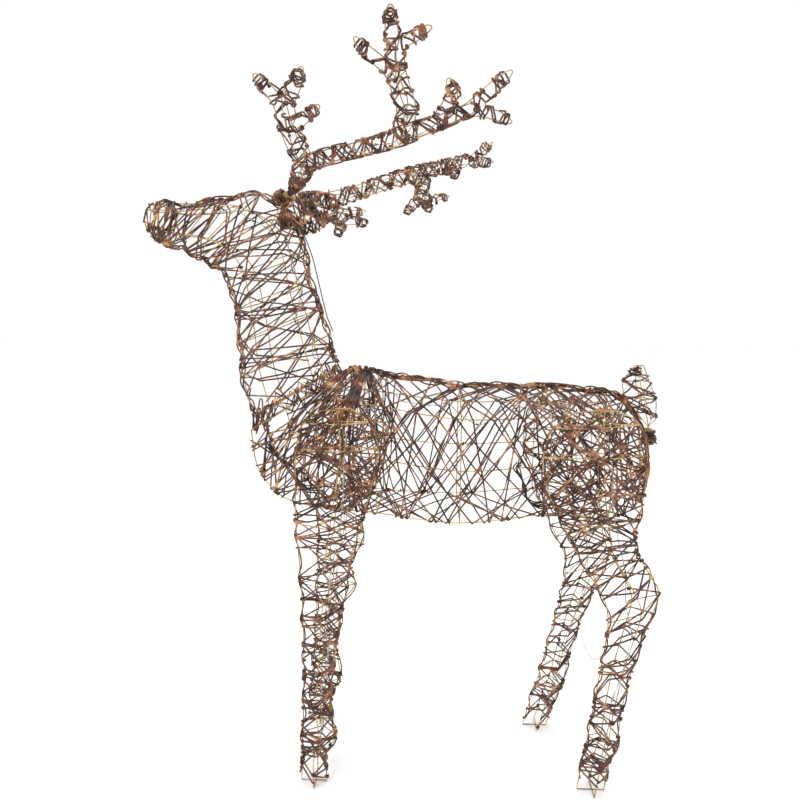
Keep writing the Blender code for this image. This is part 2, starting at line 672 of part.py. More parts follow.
def tail():
    """Frame and winding of the tail, with the prong that it stands on, and its socket."""
    frames = section_frames(TAIL)
    rows = [[place(f, p) for p in outline(f, LEG_RODS)] for f in frames]
    front, left, back, right = [list(rod) for rod in zip(*rows)]
    rods = [([TAIL_FOOT - TAIL_AXIS * TAIL_DEPTH, TAIL_FOOT + TAIL_AXIS * 0.001], STEM, False),
            ([TAIL_FOOT] + front + back[::-1], ROD, True),
            ([TAIL_FOOT] + left + right[::-1], ROD * FACE_ROD, True)]
    rods += [(row, ROD * CROSS_ROD, True) for row in rows[1:3]]
    frame = welded_rods("tail_frame", rods, steel())
    outer = [[place(f, p) for p in grown(outline(f, LEG_RODS), WIND_OFF)] for f in frames]
    wrap = wire_curve("tail_wrap", winding(outer, 4, 0.38, 0.92), WIRE, brown_wire())
    tube("tail_socket", SOCKET_BORE, BORE, TAIL_SOCKET_SPAN, TAIL_FOOT, TAIL_AXIS, steel())
    return frame, wrap


def connector(word, middle, axis):
    """A two-part cable connector: a plug with a screwed collar, pushed onto a socket."""
    end = CONNECTOR_HALF
    plug = [(0.0, end), (0.0022, end), (0.0028, 0.008), (0.0028, 0.006), (0.0048, 0.006),
            (0.0048, GAP / 2), (0.0, GAP / 2)]
    socket = [(0.0, -GAP / 2), (0.0042, -GAP / 2), (0.0042, -0.008), (0.0022, -end), (0.0, -end)]
    turned(f"{word}_plug", plug, middle, axis, black_plastic(), False)
    turned(f"{word}_socket", socket, middle, axis, black_plastic(), False)


def connector_ends(word):
    """Where a wire's end meets the plug's tail, and where one meets the socket's."""
    middle, axis = CONNECTORS[word]
    reach = axis * (CONNECTOR_HALF + LEAD + GAP)
    return middle + reach, middle - reach


def neck_ties(neck_ring, torso_ring):
    """Ties that hold the neck's ring to the torso's ring, one on each flank."""
    for word, a0, a1, b0, b1 in (("right", 1, 2, 1, 2), ("left", 5, 4, 6, 5)):
        on_neck = neck_ring[a0].lerp(neck_ring[a1], TIE_PLACE)
        on_torso = torso_ring[b0].lerp(torso_ring[b1], 0.5)
        way = on_neck - on_torso
        rod = (torso_ring[b1] - torso_ring[b0]).normalized()
        long_way = (way - rod * way.dot(rod)).normalized()
        half = way.dot(long_way) / 2 + TIE_ROOM
        tie(f"{word}_neck_tie", (on_neck + on_torso) / 2, long_way, rod.cross(long_way), half, TIE_ROOM)


def hang_on(pieces, name, place_at):
    """Puts moving pieces on an empty that stands on their joint's axis."""
    pivot = bpy.data.objects.new(name, None)
    PARTS.objects.link(pivot)
    pivot.location = place_at
    for piece in pieces:
        piece.parent = pivot
        piece.matrix_parent_inverse = Matrix.Translation(-place_at)


def main():
    global PARTS
    clear_scene()
    PARTS = collection_named("light_up_yard_reindeer")
    ground_cutter()
    for word, (middle, axis) in CONNECTORS.items():
        connector(word, middle, axis)
    chest_plug, chest_socket = connector_ends("chest")
    torso_leads = ((chest_plug,), (connector_ends("hip")[1],))
    torso_rows = body_cage("torso", TORSO, TORSO_RODS, TORSO_RINGS, 7, 12, (), torso_leads, 0.14, 0.80)
    posts = []
    for side in (-1, 1):
        foot, axis, _ = antler_frame_of(side)
        posts.append(foot + axis * (sum(SOCKET_SPAN) / 2) - Vector((0, 0, BRACKET_DROP)))
    neck_leads = ((chest_socket,), ())
    neck_rows = body_cage("neck_head", NECK_HEAD, NECK_RODS, NECK_RINGS, 9, 10, posts, neck_leads, 0.03, 0.90)
    neck_ties(neck_rows[0], torso_rows[0])
    for side, word in ((-1, "left"), (1, "right")):
        for table, part, lean in ((FRONT_LEG, "front", FRONT_LEAN), (REAR_LEG, "rear", REAR_LEAN)):
            name = f"{word}_{part}_leg"
            inner = leg(name, table, side, lean if side > 0 else 0.0)
            numbers = {"side": 2, "belly": 3} if side > 0 else {"side": 5, "belly": 4}
            rods = [(tie_word, [row[number] for row in torso_rows]) for tie_word, number in numbers.items()]
            leg_ties(name, inner, rods)
        foot, axis, made = antler(word, side)
        made.append(antler_mount(word, foot, axis))
        hang_on(made, f"{word}_antler_pivot", foot)
        ear(word, side)
    hang_on(tail(), "tail_pivot", TAIL_FOOT)
    wire_curve("antler_lead", smooth(ANTLER_LEAD, LEAD_SMOOTH), LEAD_R, black_plastic(), 2)
    wire_curve("rear_leg_lead", smooth(REAR_LEG_LEAD, LEAD_SMOOTH), LEAD, clear_wire(), 2)
    for obj in PARTS.objects:
        if obj.parent is None:
            obj.location -= BOX_CENTRE


main()
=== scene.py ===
"""Looks of the light-up yard reindeer: round rods, taut wound wire, lamps, connectors and leads."""
import math
import random

import bpy
import numpy as np
from mathutils import Matrix, Vector


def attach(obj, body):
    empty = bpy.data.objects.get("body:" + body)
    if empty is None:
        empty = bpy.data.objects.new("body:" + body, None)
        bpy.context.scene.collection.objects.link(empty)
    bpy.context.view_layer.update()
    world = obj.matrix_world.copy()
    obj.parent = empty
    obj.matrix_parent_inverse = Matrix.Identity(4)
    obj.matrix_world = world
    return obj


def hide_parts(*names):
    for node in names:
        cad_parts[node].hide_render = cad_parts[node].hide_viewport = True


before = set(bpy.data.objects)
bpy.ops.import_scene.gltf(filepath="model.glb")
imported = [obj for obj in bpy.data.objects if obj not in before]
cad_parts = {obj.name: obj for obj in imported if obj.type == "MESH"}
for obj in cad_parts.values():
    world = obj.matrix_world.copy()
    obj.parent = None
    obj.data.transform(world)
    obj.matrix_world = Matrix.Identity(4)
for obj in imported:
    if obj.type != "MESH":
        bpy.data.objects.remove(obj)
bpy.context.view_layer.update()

# ---- sizes, in metres ------------------------------------------------------------------------
ROD = 0.00105                 # radius of a frame rod
THIN_ROD = 0.0009            # radius of an antler's, an ear's or the tail's rod
WIRE = 0.00152               # radius of the wound wire
LAMP_WIRE = 0.0006
SHIFT = Vector((-0.00418, -0.0114, 0.0))   # from the deer's own middle plane to the frame's origin

# The cages' sections, as the CAD has them: front or lower end (x, z), back or upper end (x, z),
# half width, and on a leg the sideways place of its middle.
TORSO = [
    (-0.272, 0.668, -0.110, 0.767, 0.070),
    (-0.255, 0.597, -0.092, 0.776, 0.086),
    (-0.195, 0.541, -0.070, 0.776, 0.094),
    (-0.038, 0.522, -0.040, 0.771, 0.100),
    (0.112, 0.511, 0.113, 0.748, 0.121),
    (0.265, 0.526, 0.272, 0.747, 0.110),
    (0.380, 0.518, 0.383, 0.736, 0.094),
    (0.437, 0.543, 0.427, 0.714, 0.071),
    (0.461, 0.600, 0.459, 0.655, 0.028),
]
NECK_HEAD = [
    (-0.281, 0.684, -0.116, 0.780, 0.068),
    (-0.300, 0.762, -0.136, 0.840, 0.062),
    (-0.304, 0.825, -0.150, 0.889, 0.058),
    (-0.309, 0.887, -0.167, 0.938, 0.053),
    (-0.322, 0.943, -0.177, 0.995, 0.050),
    (-0.348, 0.970, -0.198, 1.056, 0.050),
    (-0.376, 0.984, -0.262, 1.099, 0.049),
    (-0.404, 0.999, -0.330, 1.090, 0.043),
    (-0.432, 1.008, -0.388, 1.083, 0.034),
    (-0.456, 1.018, -0.440, 1.085, 0.026),
    (-0.475, 1.040, -0.468, 1.080, 0.014),
]
FRONT_LEG = [
    (-0.128, 0.718, -0.078, 0.722, 0.010, 0.1375),
    (-0.160, 0.695, -0.046, 0.698, 0.018, 0.138),
    (-0.173, 0.650, -0.030, 0.652, 0.024, 0.138),
    (-0.176, 0.585, -0.042, 0.590, 0.027, 0.138),
    (-0.178, 0.515, -0.062, 0.512, 0.031, 0.130),
    (-0.175, 0.445, -0.083, 0.444, 0.032, 0.122),
    (-0.173, 0.400, -0.075, 0.400, 0.032, 0.118),
    (-0.172, 0.360, -0.099, 0.358, 0.030, 0.115),
    (-0.172, 0.265, -0.114, 0.262, 0.028, 0.109),
    (-0.175, 0.165, -0.126, 0.165, 0.026, 0.105),
    (-0.178, 0.100, -0.116, 0.095, 0.025, 0.103),
    (-0.180, 0.060, -0.134, 0.058, 0.024, 0.102),
    (-0.182, 0.0012, -0.134, 0.0012, 0.023, 0.102),
]
REAR_LEG = [
    (0.305, 0.718, 0.372, 0.722, 0.010, 0.136),
    (0.268, 0.690, 0.412, 0.698, 0.018, 0.137),
    (0.252, 0.640, 0.426, 0.645, 0.024, 0.138),
    (0.262, 0.580, 0.424, 0.582, 0.026, 0.138),
    (0.290, 0.522, 0.418, 0.528, 0.030, 0.132),
    (0.314, 0.472, 0.416, 0.485, 0.032, 0.125),
    (0.348, 0.415, 0.428, 0.458, 0.032, 0.120),
    (0.371, 0.375, 0.447, 0.425, 0.032, 0.117),
    (0.378, 0.335, 0.464, 0.390, 0.031, 0.115),
    (0.375, 0.290, 0.446, 0.322, 0.029, 0.112),
    (0.369, 0.240, 0.427, 0.253, 0.028, 0.109),
    (0.360, 0.165, 0.412, 0.166, 0.026, 0.105),
    (0.353, 0.110, 0.406, 0.092, 0.025, 0.103),
    (0.345, 0.062, 0.394, 0.058, 0.024, 0.102),
    (0.336, 0.0012, 0.386, 0.0012, 0.023, 0.102),
]
TAIL = [
    (0.452, 0.687, 0.478, 0.684, 0.013),
    (0.421, 0.728, 0.477, 0.722, 0.018),
    (0.416, 0.757, 0.463, 0.757, 0.016),
    (0.436, 0.786, 0.452, 0.786, 0.007),
]
HIP_HEIGHT = 0.62
FRONT_LEAN = 0.035
REAR_LEAN = 0.125
TORSO_RODS = [(1, 0), (0.60, 0.94), (-0.16, 1), (-1, 0.84), (-1, -0.84), (-0.16, -1), (0.60, -0.94)]
NECK_RODS = [(1, 0), (0.55, 0.85), (-0.45, 0.90), (-1, 0), (-0.45, -0.90), (0.55, -0.85)]
LEG_RODS = [(-1, 0), (0.12, -1), (1, 0), (0.12, 1)]

# Antler in its own plane: children, front or upper one first, and rows of
# (backward, outward, half width)
ANTLER = {
    "stem": (("brow", "beam"), [(0.008, 0.013, 0.009), (0.021, 0.040, 0.014), (0.036, 0.074, 0.018)]),
    "brow": (("brow_top", "brow_spur"), [(0.029, 0.122, 0.017), (0.026, 0.160, 0.017)]),
    "brow_top": (("brow_front", "brow_back"), [(0.026, 0.208, 0.015)]),
    "brow_spur": ((), [(0.061, 0.187, 0.009), (0.080, 0.206, 0.004)]),
    "brow_front": ((), [(0.004, 0.246, 0.009), (-0.006, 0.268, 0.004)]),
    "brow_back": ((), [(0.052, 0.250, 0.010), (0.066, 0.279, 0.004)]),
    "beam": (("crown", "rear_beam"), [(0.086, 0.096, 0.015), (0.122, 0.107, 0.015),
                                      (0.158, 0.118, 0.015), (0.200, 0.136, 0.017)]),
    "crown": (("crown_front", "crown_top"), [(0.215, 0.192, 0.015), (0.208, 0.228, 0.015),
                                             (0.201, 0.264, 0.014)]),
    "crown_front": ((), [(0.164, 0.302, 0.009), (0.147, 0.328, 0.004)]),
    "crown_top": (("crown_tip", "crown_back"), [(0.202, 0.310, 0.012)]),
    "crown_tip": ((), [(0.198, 0.350, 0.008), (0.199, 0.377, 0.004)]),
    "crown_back": ((), [(0.234, 0.330, 0.008), (0.252, 0.343, 0.004)]),
    "rear_beam": (("rear_up", "rear_end"), [(0.262, 0.167, 0.014)]),
    "rear_up": ((), [(0.284, 0.220, 0.009), (0.277, 0.254, 0.004)]),
    "rear_end": (("rear_high", "rear_low"), [(0.310, 0.193, 0.012)]),
    "rear_high": ((), [(0.346, 0.240, 0.010), (0.367, 0.266, 0.004)]),
    "rear_low": ((), [(0.352, 0.180, 0.010), (0.376, 0.164, 0.004)]),
}
ANTLER_FOOT = Vector((-0.193, 0.030, 1.098))
ANTLER_SPLAY = math.radians(60)
ANTLER_AXIS = Vector((0.86, 0.43, 0.28)).normalized()
RIGHT_TURN = math.radians(-48)
ANTLER_DEPTH = 0.95
TAIL_FOOT = Vector((0.4655, 0.0, 0.672))
TAIL_AXIS = Vector((-0.08, 0.0, 1.0)).normalized()
EAR_ROOT = Vector((-0.214, 0.049, 1.040))
EAR_WAY = Vector((0.80, 0.42, 0.34)).normalized()
EAR_WIDE = Vector((-0.36, 0.10, 0.93)).normalized()
EAR_LENGTH = 0.088
EAR_SHAPE = [(0.0, 0.006, 0.0005), (0.3, 0.017, 0.004), (0.62, 0.019, 0.005), (0.85, 0.011, 0.003),
             (1.0, 0.0015, 0.0)]

# The two leads that hang free, as the CAD has them
ANTLER_LEAD = [(-0.186, -0.020, 1.050), (-0.172, -0.024, 1.020), (-0.158, -0.026, 0.982),
               (-0.149, -0.026, 0.944), (-0.141, -0.025, 0.908), (-0.133, -0.023, 0.874),
               (-0.124, -0.020, 0.850)]
ANTLER_LEAD_R = 0.0010
REAR_LEG_LEAD = [(0.366, 0.078, 0.236), (0.372, 0.050, 0.214), (0.376, 0.015, 0.206),
                 (0.380, -0.022, 0.216), (0.384, -0.052, 0.240), (0.388, -0.076, 0.272)]
REAR_LEG_LEAD_R = 0.0008

# The wires that are wound round each cage
TORSO_EDGES = (0, 3, 4)      # the rods at which a wire may turn back, by cage
NECK_EDGES = (0, 3)
LEG_EDGES = (0, 2)
LEG_WIRES = {"front": 5, "rear": 4}         # down the whole leg
TOP_WIRES = {"front": 6, "rear": 9}         # over the shoulder or the thigh
TOP_ROW = {"front": 4, "rear": 5}           # the section where those end
LEG_RINGS = {"front": (0, 1, 2, 4, 6, 8, 10), "rear": (0, 1, 2, 4, 6, 8, 10, 12)}
ANTLER_WIRES = {"tip": 2, "brow": 3, "crown": 3, "beam": 6, "stem": 9}
# How far round a rod a wire goes where it meets it, in degrees from the rod's outer side
ROUND_ROD = {"pass": (-25, 25), "loop": (-40, 400), "back": (-40, 225)}
LONG_SPAN = 0.012            # a wire's span longer than this stays straight in its middle

# The lamps' places along a cage, as shares of its length, and their swings off its middle
FIRST_LAMP = 0.06
LAMP_SPAN = 0.87
LAMP_SWINGS = (0.7, -0.2, -0.9, 0.3)
TAIL_LEADS = 5               # black leads that leave one end of a connector
TIE_ROOM = 0.0040            # from a rod's middle to the cable tie round it

CONNECTORS = {
    "chest": (Vector((-0.214, -0.030, 0.600)) + SHIFT, Vector((0.75, 0.10, -0.45)).normalized()),
    "hip": (Vector((0.232, -0.052, 0.562)) + SHIFT, Vector((0.25, 0.05, -1.0)).normalized()),
}
CONNECTOR_ENDS = {word: (middle + axis * 0.0171, middle - axis * 0.0171)
                  for word, (middle, axis) in CONNECTORS.items()}
# The connectors' black tails: where each goes, from the plug and from the socket
TAILS = {
    "chest": ([(-0.192, -0.024, 0.566), (-0.176, -0.014, 0.548), (-0.150, -0.004, 0.546)],
              [(-0.238, -0.034, 0.622), (-0.248, -0.040, 0.640), (-0.240, -0.052, 0.662)]),
    "hip": ([(0.244, -0.050, 0.536), (0.258, -0.046, 0.532), (0.276, -0.040, 0.536)],
            [(0.222, -0.054, 0.592), (0.216, -0.052, 0.606), (0.226, -0.046, 0.618)]),
}

CAMERA_PLACE = Vector((0.0708, -1.3512, 0.9060)) + SHIFT
CAMERA_TURN = math.radians(3.0)
CAMERA_DOWN = math.radians(7.9)
CAMERA_LENS = 32.4


# ---- camera, floor and light -------------------------------------------------------------------
def new_object(name, data):
    made = bpy.data.objects.new(name, data)
    bpy.context.scene.collection.objects.link(made)
    return made


def set_stage():
    data = bpy.data.cameras.new("camera")
    data.lens = CAMERA_LENS
    data.sensor_width = 36.0
    camera = new_object("camera", data)
    camera.location = CAMERA_PLACE
    camera.rotation_euler = (math.pi / 2 - CAMERA_DOWN, 0.0, CAMERA_TURN)
    bpy.context.scene.camera = camera

    floor_mesh = bpy.data.meshes.new("floor")
    far = 14.0
    floor_mesh.from_pydata([(-far, -far, 0), (far, -far, 0), (far, far, 0), (-far, far, 0)], [],
                           [(0, 1, 2, 3)])
    floor = new_object("floor", floor_mesh)
    floor.location.z = -0.0002
    paint = bpy.data.materials.new("floor_paint")
    paint.use_nodes = True
    shader = paint.node_tree.nodes["Principled BSDF"]
    shader.inputs["Base Color"].default_value = (0.96, 0.96, 0.96, 1.0)
    shader.inputs["Roughness"].default_value = 0.9
    shader.inputs["Specular IOR Level"].default_value = 0.1
    floor_mesh.materials.append(paint)

    world = bpy.data.worlds.new("studio")
    bpy.context.scene.world = world
    bpy.context.scene.view_settings.view_transform = "Standard"
    world.use_nodes = True
    world.node_tree.nodes["Background"].inputs["Color"].default_value = (1.0, 1.0, 1.0, 1.0)
    world.node_tree.nodes["Background"].inputs["Strength"].default_value = 1.05
    for name, place, aim, size, power in (
            ("key", (-1.6, -2.6, 3.0), (0.0, 0.0, 0.7), 1.2, 45.0),
            ("fill", (2.6, -1.8, 1.6), (0.0, 0.0, 0.6), 1.6, 14.0),
            ("top", (0.3, 0.6, 3.4), (0.0, 0.0, 0.6), 1.6, 26.0)):
        light = bpy.data.lights.new(name, "AREA")
        light.size = size
        light.energy = power
        lamp = new_object(name, light)
        lamp.location = place
        lamp.rotation_euler = (Vector(aim) - Vector(place)).to_track_quat("-Z", "Y").to_euler()


# ---- materials -----------------------------------------------------------------------------------
def spot_noise(tree, scale, detail=4.0, rough=0.55):
    place = tree.nodes.new("ShaderNodeTexCoord")
    noise = tree.nodes.new("ShaderNodeTexNoise")
    noise.inputs["Scale"].default_value = scale
    noise.inputs["Detail"].default_value = detail
    noise.inputs["Roughness"].default_value = rough
    tree.links.new(place.outputs["Object"], noise.inputs["Vector"])
    return noise.outputs["Fac"]


def ramp(tree, factor, stops):
    node = tree.nodes.new("ShaderNodeValToRGB")
    while len(node.color_ramp.elements) < len(stops):
        node.color_ramp.elements.new(0.5)
    for element, (place, colour) in zip(node.color_ramp.elements, stops):
        element.position = place
        element.color = (*colour, 1.0)
    tree.links.new(factor, node.inputs["Fac"])
    return node.outputs["Color"]


def spread(tree, factor, low, high):
    node = tree.nodes.new("ShaderNodeMapRange")
    node.inputs["To Min"].default_value = low
    node.inputs["To Max"].default_value = high
    tree.links.new(factor, node.inputs["Value"])
    return node.outputs["Result"]


def bump(tree, factor, strength, distance):
    node = tree.nodes.new("ShaderNodeBump")
    node.inputs["Strength"].default_value = strength
    node.inputs["Distance"].default_value = distance
    tree.links.new(factor, node.inputs["Height"])
    return node.outputs["Normal"]


def paint(name, patches, stops, gloss, grain=None, **sockets):
    """A material with patches of colour (scale, detail), uneven roughness (scale, low, high) and a fine
    grain (scale, strength, distance), and with other sockets set by their names."""
    made = bpy.data.materials.new(name)
    made.use_nodes = True
    tree = made.node_tree
    shader = tree.nodes["Principled BSDF"]
    tree.links.new(ramp(tree, spot_noise(tree, *patches), stops), shader.inputs["Base Color"])
    scale, low, high = gloss
    tree.links.new(spread(tree, spot_noise(tree, scale), low, high), shader.inputs["Roughness"])
    if grain:
        scale, strength, distance = grain
        tree.links.new(bump(tree, spot_noise(tree, scale, 2.0), strength, distance),
                       shader.inputs["Normal"])
    for socket, value in sockets.items():
        shader.inputs[socket.replace("_", " ")].default_value = value
    return made


def wound_wire_paint():
    """Glossy brown plastic-coated wire, darker and redder in patches: its own brown, with near-black painted
    shade and copper and gold painted highlights.
    """
    # the near-black first stop is painted shade, the copper and gold last two stops are painted highlights,
    # the brown stops between are the wire's own colour
    stops = [(0.34, (0.022, 0.0065, 0.0028)), (0.47, (0.060, 0.018, 0.0080)), (0.57, (0.170, 0.060, 0.028)),
             (0.66, (0.46, 0.22, 0.11)), (0.74, (0.62, 0.40, 0.17))]
    return paint("wound_wire", (42.0, 3.0), stops, (160.0, 0.24, 0.42), (900.0, 0.25, 0.0002),
                 Specular_IOR_Level=0.4)


def rod_paint():
    """Tan-gold paint on steel rod, a little worn and darker at random."""
    stops = [(0.30, (0.16, 0.085, 0.025)), (0.50, (0.42, 0.26, 0.09)), (0.70, (0.62, 0.44, 0.20))]
    return paint("tan_rod", (30.0, 5.0), stops, (220.0, 0.30, 0.52), (700.0, 0.2, 0.0002), Metallic=0.45)


def black_paint():
    """Moulded black plastic with a fine grain."""
    stops = [(0.35, (0.006, 0.006, 0.0065)), (0.7, (0.022, 0.021, 0.022))]
    return paint("black_plastic_grain", (90.0,), stops, (400.0, 0.32, 0.55), (1500.0, 0.3, 0.0001))


def clear_paint(name, tint, roughness, transmission):
    """Clear plastic with a slight tint, faintly uneven."""
    pale = tuple(min(1.0, c * 1.12) for c in tint)
    return paint(name, (60.0,), [(0.35, tint), (0.7, pale)], (300.0, roughness, roughness + 0.12),
                 Transmission_Weight=transmission, IOR=1.47)


# ---- tubes -----------------------------------------------------------------------------------------
def ring_faces(rings, sides, closed=False):
    """Faces between rings of vertices, with a cap on each end of a tube that isn't closed."""
    faces = []
    for i in range(rings if closed else rings - 1):
        a, b = i * sides, (i + 1) % rings * sides
        for k in range(sides):
            m = (k + 1) % sides
            faces.append((a + k, a + m, b + m, b + k))
    if not closed:
        faces.append(tuple(range(sides - 1, -1, -1)))
        faces.append(tuple(range((rings - 1) * sides, rings * sides)))
    return faces


def tube_arrays(points, radius, sides, closed):
    """Vertices and faces of a round tube along points: radius is one number or one for each."""
    p = np.asarray(points, float)
    n = len(p)
    r = np.full(n, radius) if np.isscalar(radius) else np.asarray(radius, float)
    if closed:
        way = np.roll(p, -1, 0) - np.roll(p, 1, 0)
    else:
        way = np.empty_like(p)
        way[1:-1] = p[2:] - p[:-2]
        way[0] = p[1] - p[0]
        way[-1] = p[-1] - p[-2]
    way /= np.linalg.norm(way, axis=1)[:, None] + 1e-12
    side = np.cross(way[0], (0.0, 0.0, 1.0) if abs(way[0][2]) < 0.9 else (1.0, 0.0, 0.0))
    sides_at = np.empty_like(p)
    for i in range(n):
        side = side - way[i] * side.dot(way[i])
        side = side / (np.linalg.norm(side) + 1e-12)
        sides_at[i] = side
    if closed:
        # spread the frame's closing twist along the loop
        last = sides_at[-1] - way[0] * sides_at[-1].dot(way[0])
        last /= np.linalg.norm(last) + 1e-12
        twist = math.atan2(np.cross(sides_at[0], last).dot(way[0]), sides_at[0].dot(last))
        for i in range(n):
            a = -twist * i / n
            s = sides_at[i]
            sides_at[i] = s * math.cos(a) + np.cross(way[i], s) * math.sin(a)
    ups = np.cross(way, sides_at)
    turn = np.arange(sides) * (2 * math.pi / sides)
    ring = (sides_at[:, None, :] * np.cos(turn)[None, :, None]
            + ups[:, None, :] * np.sin(turn)[None, :, None]) * r[:, None, None]
    verts = (p[:, None, :] + ring).reshape(-1, 3)
    return verts, ring_faces(n, sides, closed)


class Builder:
    """Collects tubes and turned shapes, and makes one mesh object of them."""

    def __init__(self):
        self.verts, self.faces, self.slots, self.count = [], [], [], 0

    def add(self, verts, faces, slot=0):
        base = self.count
        self.verts.append(np.asarray(verts, float))
        self.faces += [tuple(base + i for i in face) for face in faces]
        self.slots += [slot] * len(faces)
        self.count += len(verts)

    def tube(self, points, radius, sides=6, closed=False, slot=0):
        clean = [points[0]]
        for q in points[1:]:
            if (Vector(q) - Vector(clean[-1])).length > 1e-5:
                clean.append(q)
        if len(clean) > 1:
            self.add(*tube_arrays([tuple(q) for q in clean], radius, sides, closed), slot)

    def turned(self, profile, foot, axis, sides=12, slot=0):
        """A turned shape: profile is (radius, height) from one end to the other."""
        axis = axis.normalized()
        side = axis.orthogonal().normalized()
        up = axis.cross(side)
        verts = []
        for r, h in profile:
            for k in range(sides):
                a = 2 * math.pi * k / sides
                verts.append(tuple(foot + axis * h + (side * math.cos(a) + up * math.sin(a)) * r))
        self.add(verts, ring_faces(len(profile), sides), slot)

    def make(self, name, materials, body, slot, nodes):
        mesh = bpy.data.meshes.new(name)
        verts = np.concatenate(self.verts)
        mesh.from_pydata([tuple(v) for v in verts], [], self.faces)
        for material in materials:
            mesh.materials.append(material)
        mesh.polygons.foreach_set("material_index", self.slots)
        mesh.shade_smooth()
        mesh.set_sharp_from_angle(angle=math.radians(50))
        obj = new_object(name, mesh)
        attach(obj, body)
        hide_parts(*nodes)


# ---- cages -----------------------------------------------------------------------------------------
def catmull(p0, p1, p2, p3, t):
    return 0.5 * (2 * p1 + (p2 - p0) * t + (2 * p0 - 5 * p1 + 4 * p2 - p3) * t * t
                  + (3 * p1 - 3 * p2 + p3 - p0) * t ** 3)


def smooth(points, between):
    """A smooth curve through points, with more points between them."""
    route = [Vector(p) for p in points]
    route = [route[0] * 2 - route[1]] + route + [route[-1] * 2 - route[-2]]
    out = []
    for i in range(1, len(route) - 2):
        for k in range(between):
            out.append(catmull(*route[i - 1:i + 3], k / between))
    out.append(route[-2])
    return out


class Cage:
    """Lengthwise rods through rows of corners, with places on them by rod and by length."""

    def __init__(self, rows, between=6):
        self.count = len(rows[0])
        self.rows = rows
        self.rods = [smooth([row[i] for row in rows], between) for i in range(self.count)]
        self.between = between
        self.middles = [sum((rod[j] for rod in self.rods), Vector()) / self.count
                        for j in range(len(self.rods[0]))]
        self.reach = [0.0]
        for j in range(len(self.middles) - 1):
            self.reach.append(self.reach[-1] + max((rod[j + 1] - rod[j]).length for rod in self.rods))
        self.length = self.reach[-1]

    def spot(self, s):
        s = min(max(s, 0.0), self.length - 1e-6)
        low, high = 0, len(self.reach) - 1
        while high - low > 1:
            mid = (low + high) // 2
            if self.reach[mid] <= s:
                low = mid
            else:
                high = mid
        return low, (s - self.reach[low]) / max(1e-9, self.reach[low + 1] - self.reach[low])

    def at(self, rod, s):
        """Place, way along, and way out, on a rod at a length."""
        j, t = self.spot(s)
        line = self.rods[rod % self.count]
        place = line[j].lerp(line[j + 1], t)
        along = (line[j + 1] - line[j]).normalized()
        middle = self.middles[j].lerp(self.middles[j + 1], t)
        out = place - middle
        out = (out - along * out.dot(along)).normalized()
        return place, along, out

    def row_length(self, row):
        return self.reach[min(row * self.between, len(self.reach) - 1)]


def section_ends(table, side=0.0, lean=0.0):
    """Each section's front or lower end, its back or upper end, and its half width."""
    ends = []
    for row in table:
        x1, z1, x2, z2, width = row[:5]
        middle_y = side * row[5] if len(row) > 5 else 0.0
        x1 -= lean * max(0.0, HIP_HEIGHT - z1)
        x2 -= lean * max(0.0, HIP_HEIGHT - z2)
        ends.append((Vector((x1, middle_y, z1)) + SHIFT, Vector((x2, middle_y, z2)) + SHIFT, width))
    return ends


def section_rows(table, rods, side=0.0, lean=0.0):
    """The rods' corners on each section."""
    rows = []
    for low, high, width in section_ends(table, side, lean):
        middle, along = (low + high) / 2, (high - low) / 2
        across = Vector((0.0, width * (side if side else 1.0), 0.0))
        rows.append([middle + along * a + across * b for a, b in rods])
    return rows


# ---- winding ---------------------------------------------------------------------------------------
def drift(rng, size):
    """A random way, about as long as size."""
    return Vector((rng.gauss(0, size), rng.gauss(0, size), rng.gauss(0, size)))


def contact(cage, rod, s, turn, kind, rng, rod_radius, lift=0.0):
    """The wire's points as it passes over a rod, loops round it, or turns back at it."""
    place, along, out = cage.at(rod, s)
    side = along.cross(out) * turn
    reach = rod_radius + WIRE + lift
    first, last = ROUND_ROD[kind]
    steps = max(1, int((last - first) / 50))
    advance = WIRE * 2.1 * (last - first - 100) / 360 * rng.choice((-1, 1))
    points = []
    for k in range(steps + 1):
        a = math.radians(first + (last - first) * k / steps)
        shift = advance * (k / steps - 0.5)
        points.append(place + along * shift + (out * math.cos(a) + side * math.sin(a)) * reach)
    return points


def wind(builder, cage, rng, start, end, slopes, rod_radius, turn, edges=(), loops=0.25, backs=0.1,
         bow=0.010, lift=0.0014):
    """One wire from start to end along a cage. It crosses the cage at a slope that it keeps until it
    reaches an edge rod, where it may loop round the rod or turn back."""
    s, rod = start, rng.randrange(cage.count)
    way = 1.0 if end > start else -1.0
    slope = rng.uniform(*slopes)
    low, high = min(start, end) - 1e-6, max(start, end) + 1e-6
    path = []
    while low <= s <= high:
        at_edge = not edges or rod % cage.count in edges
        roll = rng.random()
        kind = "pass"
        if at_edge and roll < backs:
            kind = "back"
        elif roll < (backs + loops if at_edge else loops * 0.3):
            kind = "loop"
        spots = contact(cage, rod, s, turn, kind, rng, rod_radius, rng.uniform(0.0, lift))
        if path:
            a, b = path[-1], spots[0]
            bend = drift(rng, 1) * ((b - a).length * bow)
            path += [a.lerp(b, 0.10), a.lerp(b, 0.32) + bend * 0.8, a.lerp(b, 0.68) + bend * 0.8,
                     a.lerp(b, 0.90)]
        path += spots
        if kind == "back":
            turn = -turn
        if at_edge:
            slope = rng.uniform(*slopes)
        here = cage.at(rod, s)[0]
        rod += turn
        hop = (cage.at(rod, s)[0] - here).length
        s += way * max(0.0004, hop * slope * rng.uniform(0.85, 1.15))
    if len(path) > 2:
        builder.tube(rounded(path), WIRE, 6)


def rounded(path):
    """The same path with its corners cut, as a stiff wire bends."""
    out = [path[0]]
    for a, b in zip(path, path[1:]):
        if (b - a).length > LONG_SPAN:
            out += [a.lerp(b, 0.12), a.lerp(b, 0.88)]
        else:
            out.append(a.lerp(b, 0.5))
    out.append(path[-1])
    return out


def bent(loop):
    """A closed loop of rod with its corners bent round."""
    out = []
    for a, b in zip(loop, loop[1:] + loop[:1]):
        out += [a.lerp(b, 0.22), a.lerp(b, 0.78)]
    return out


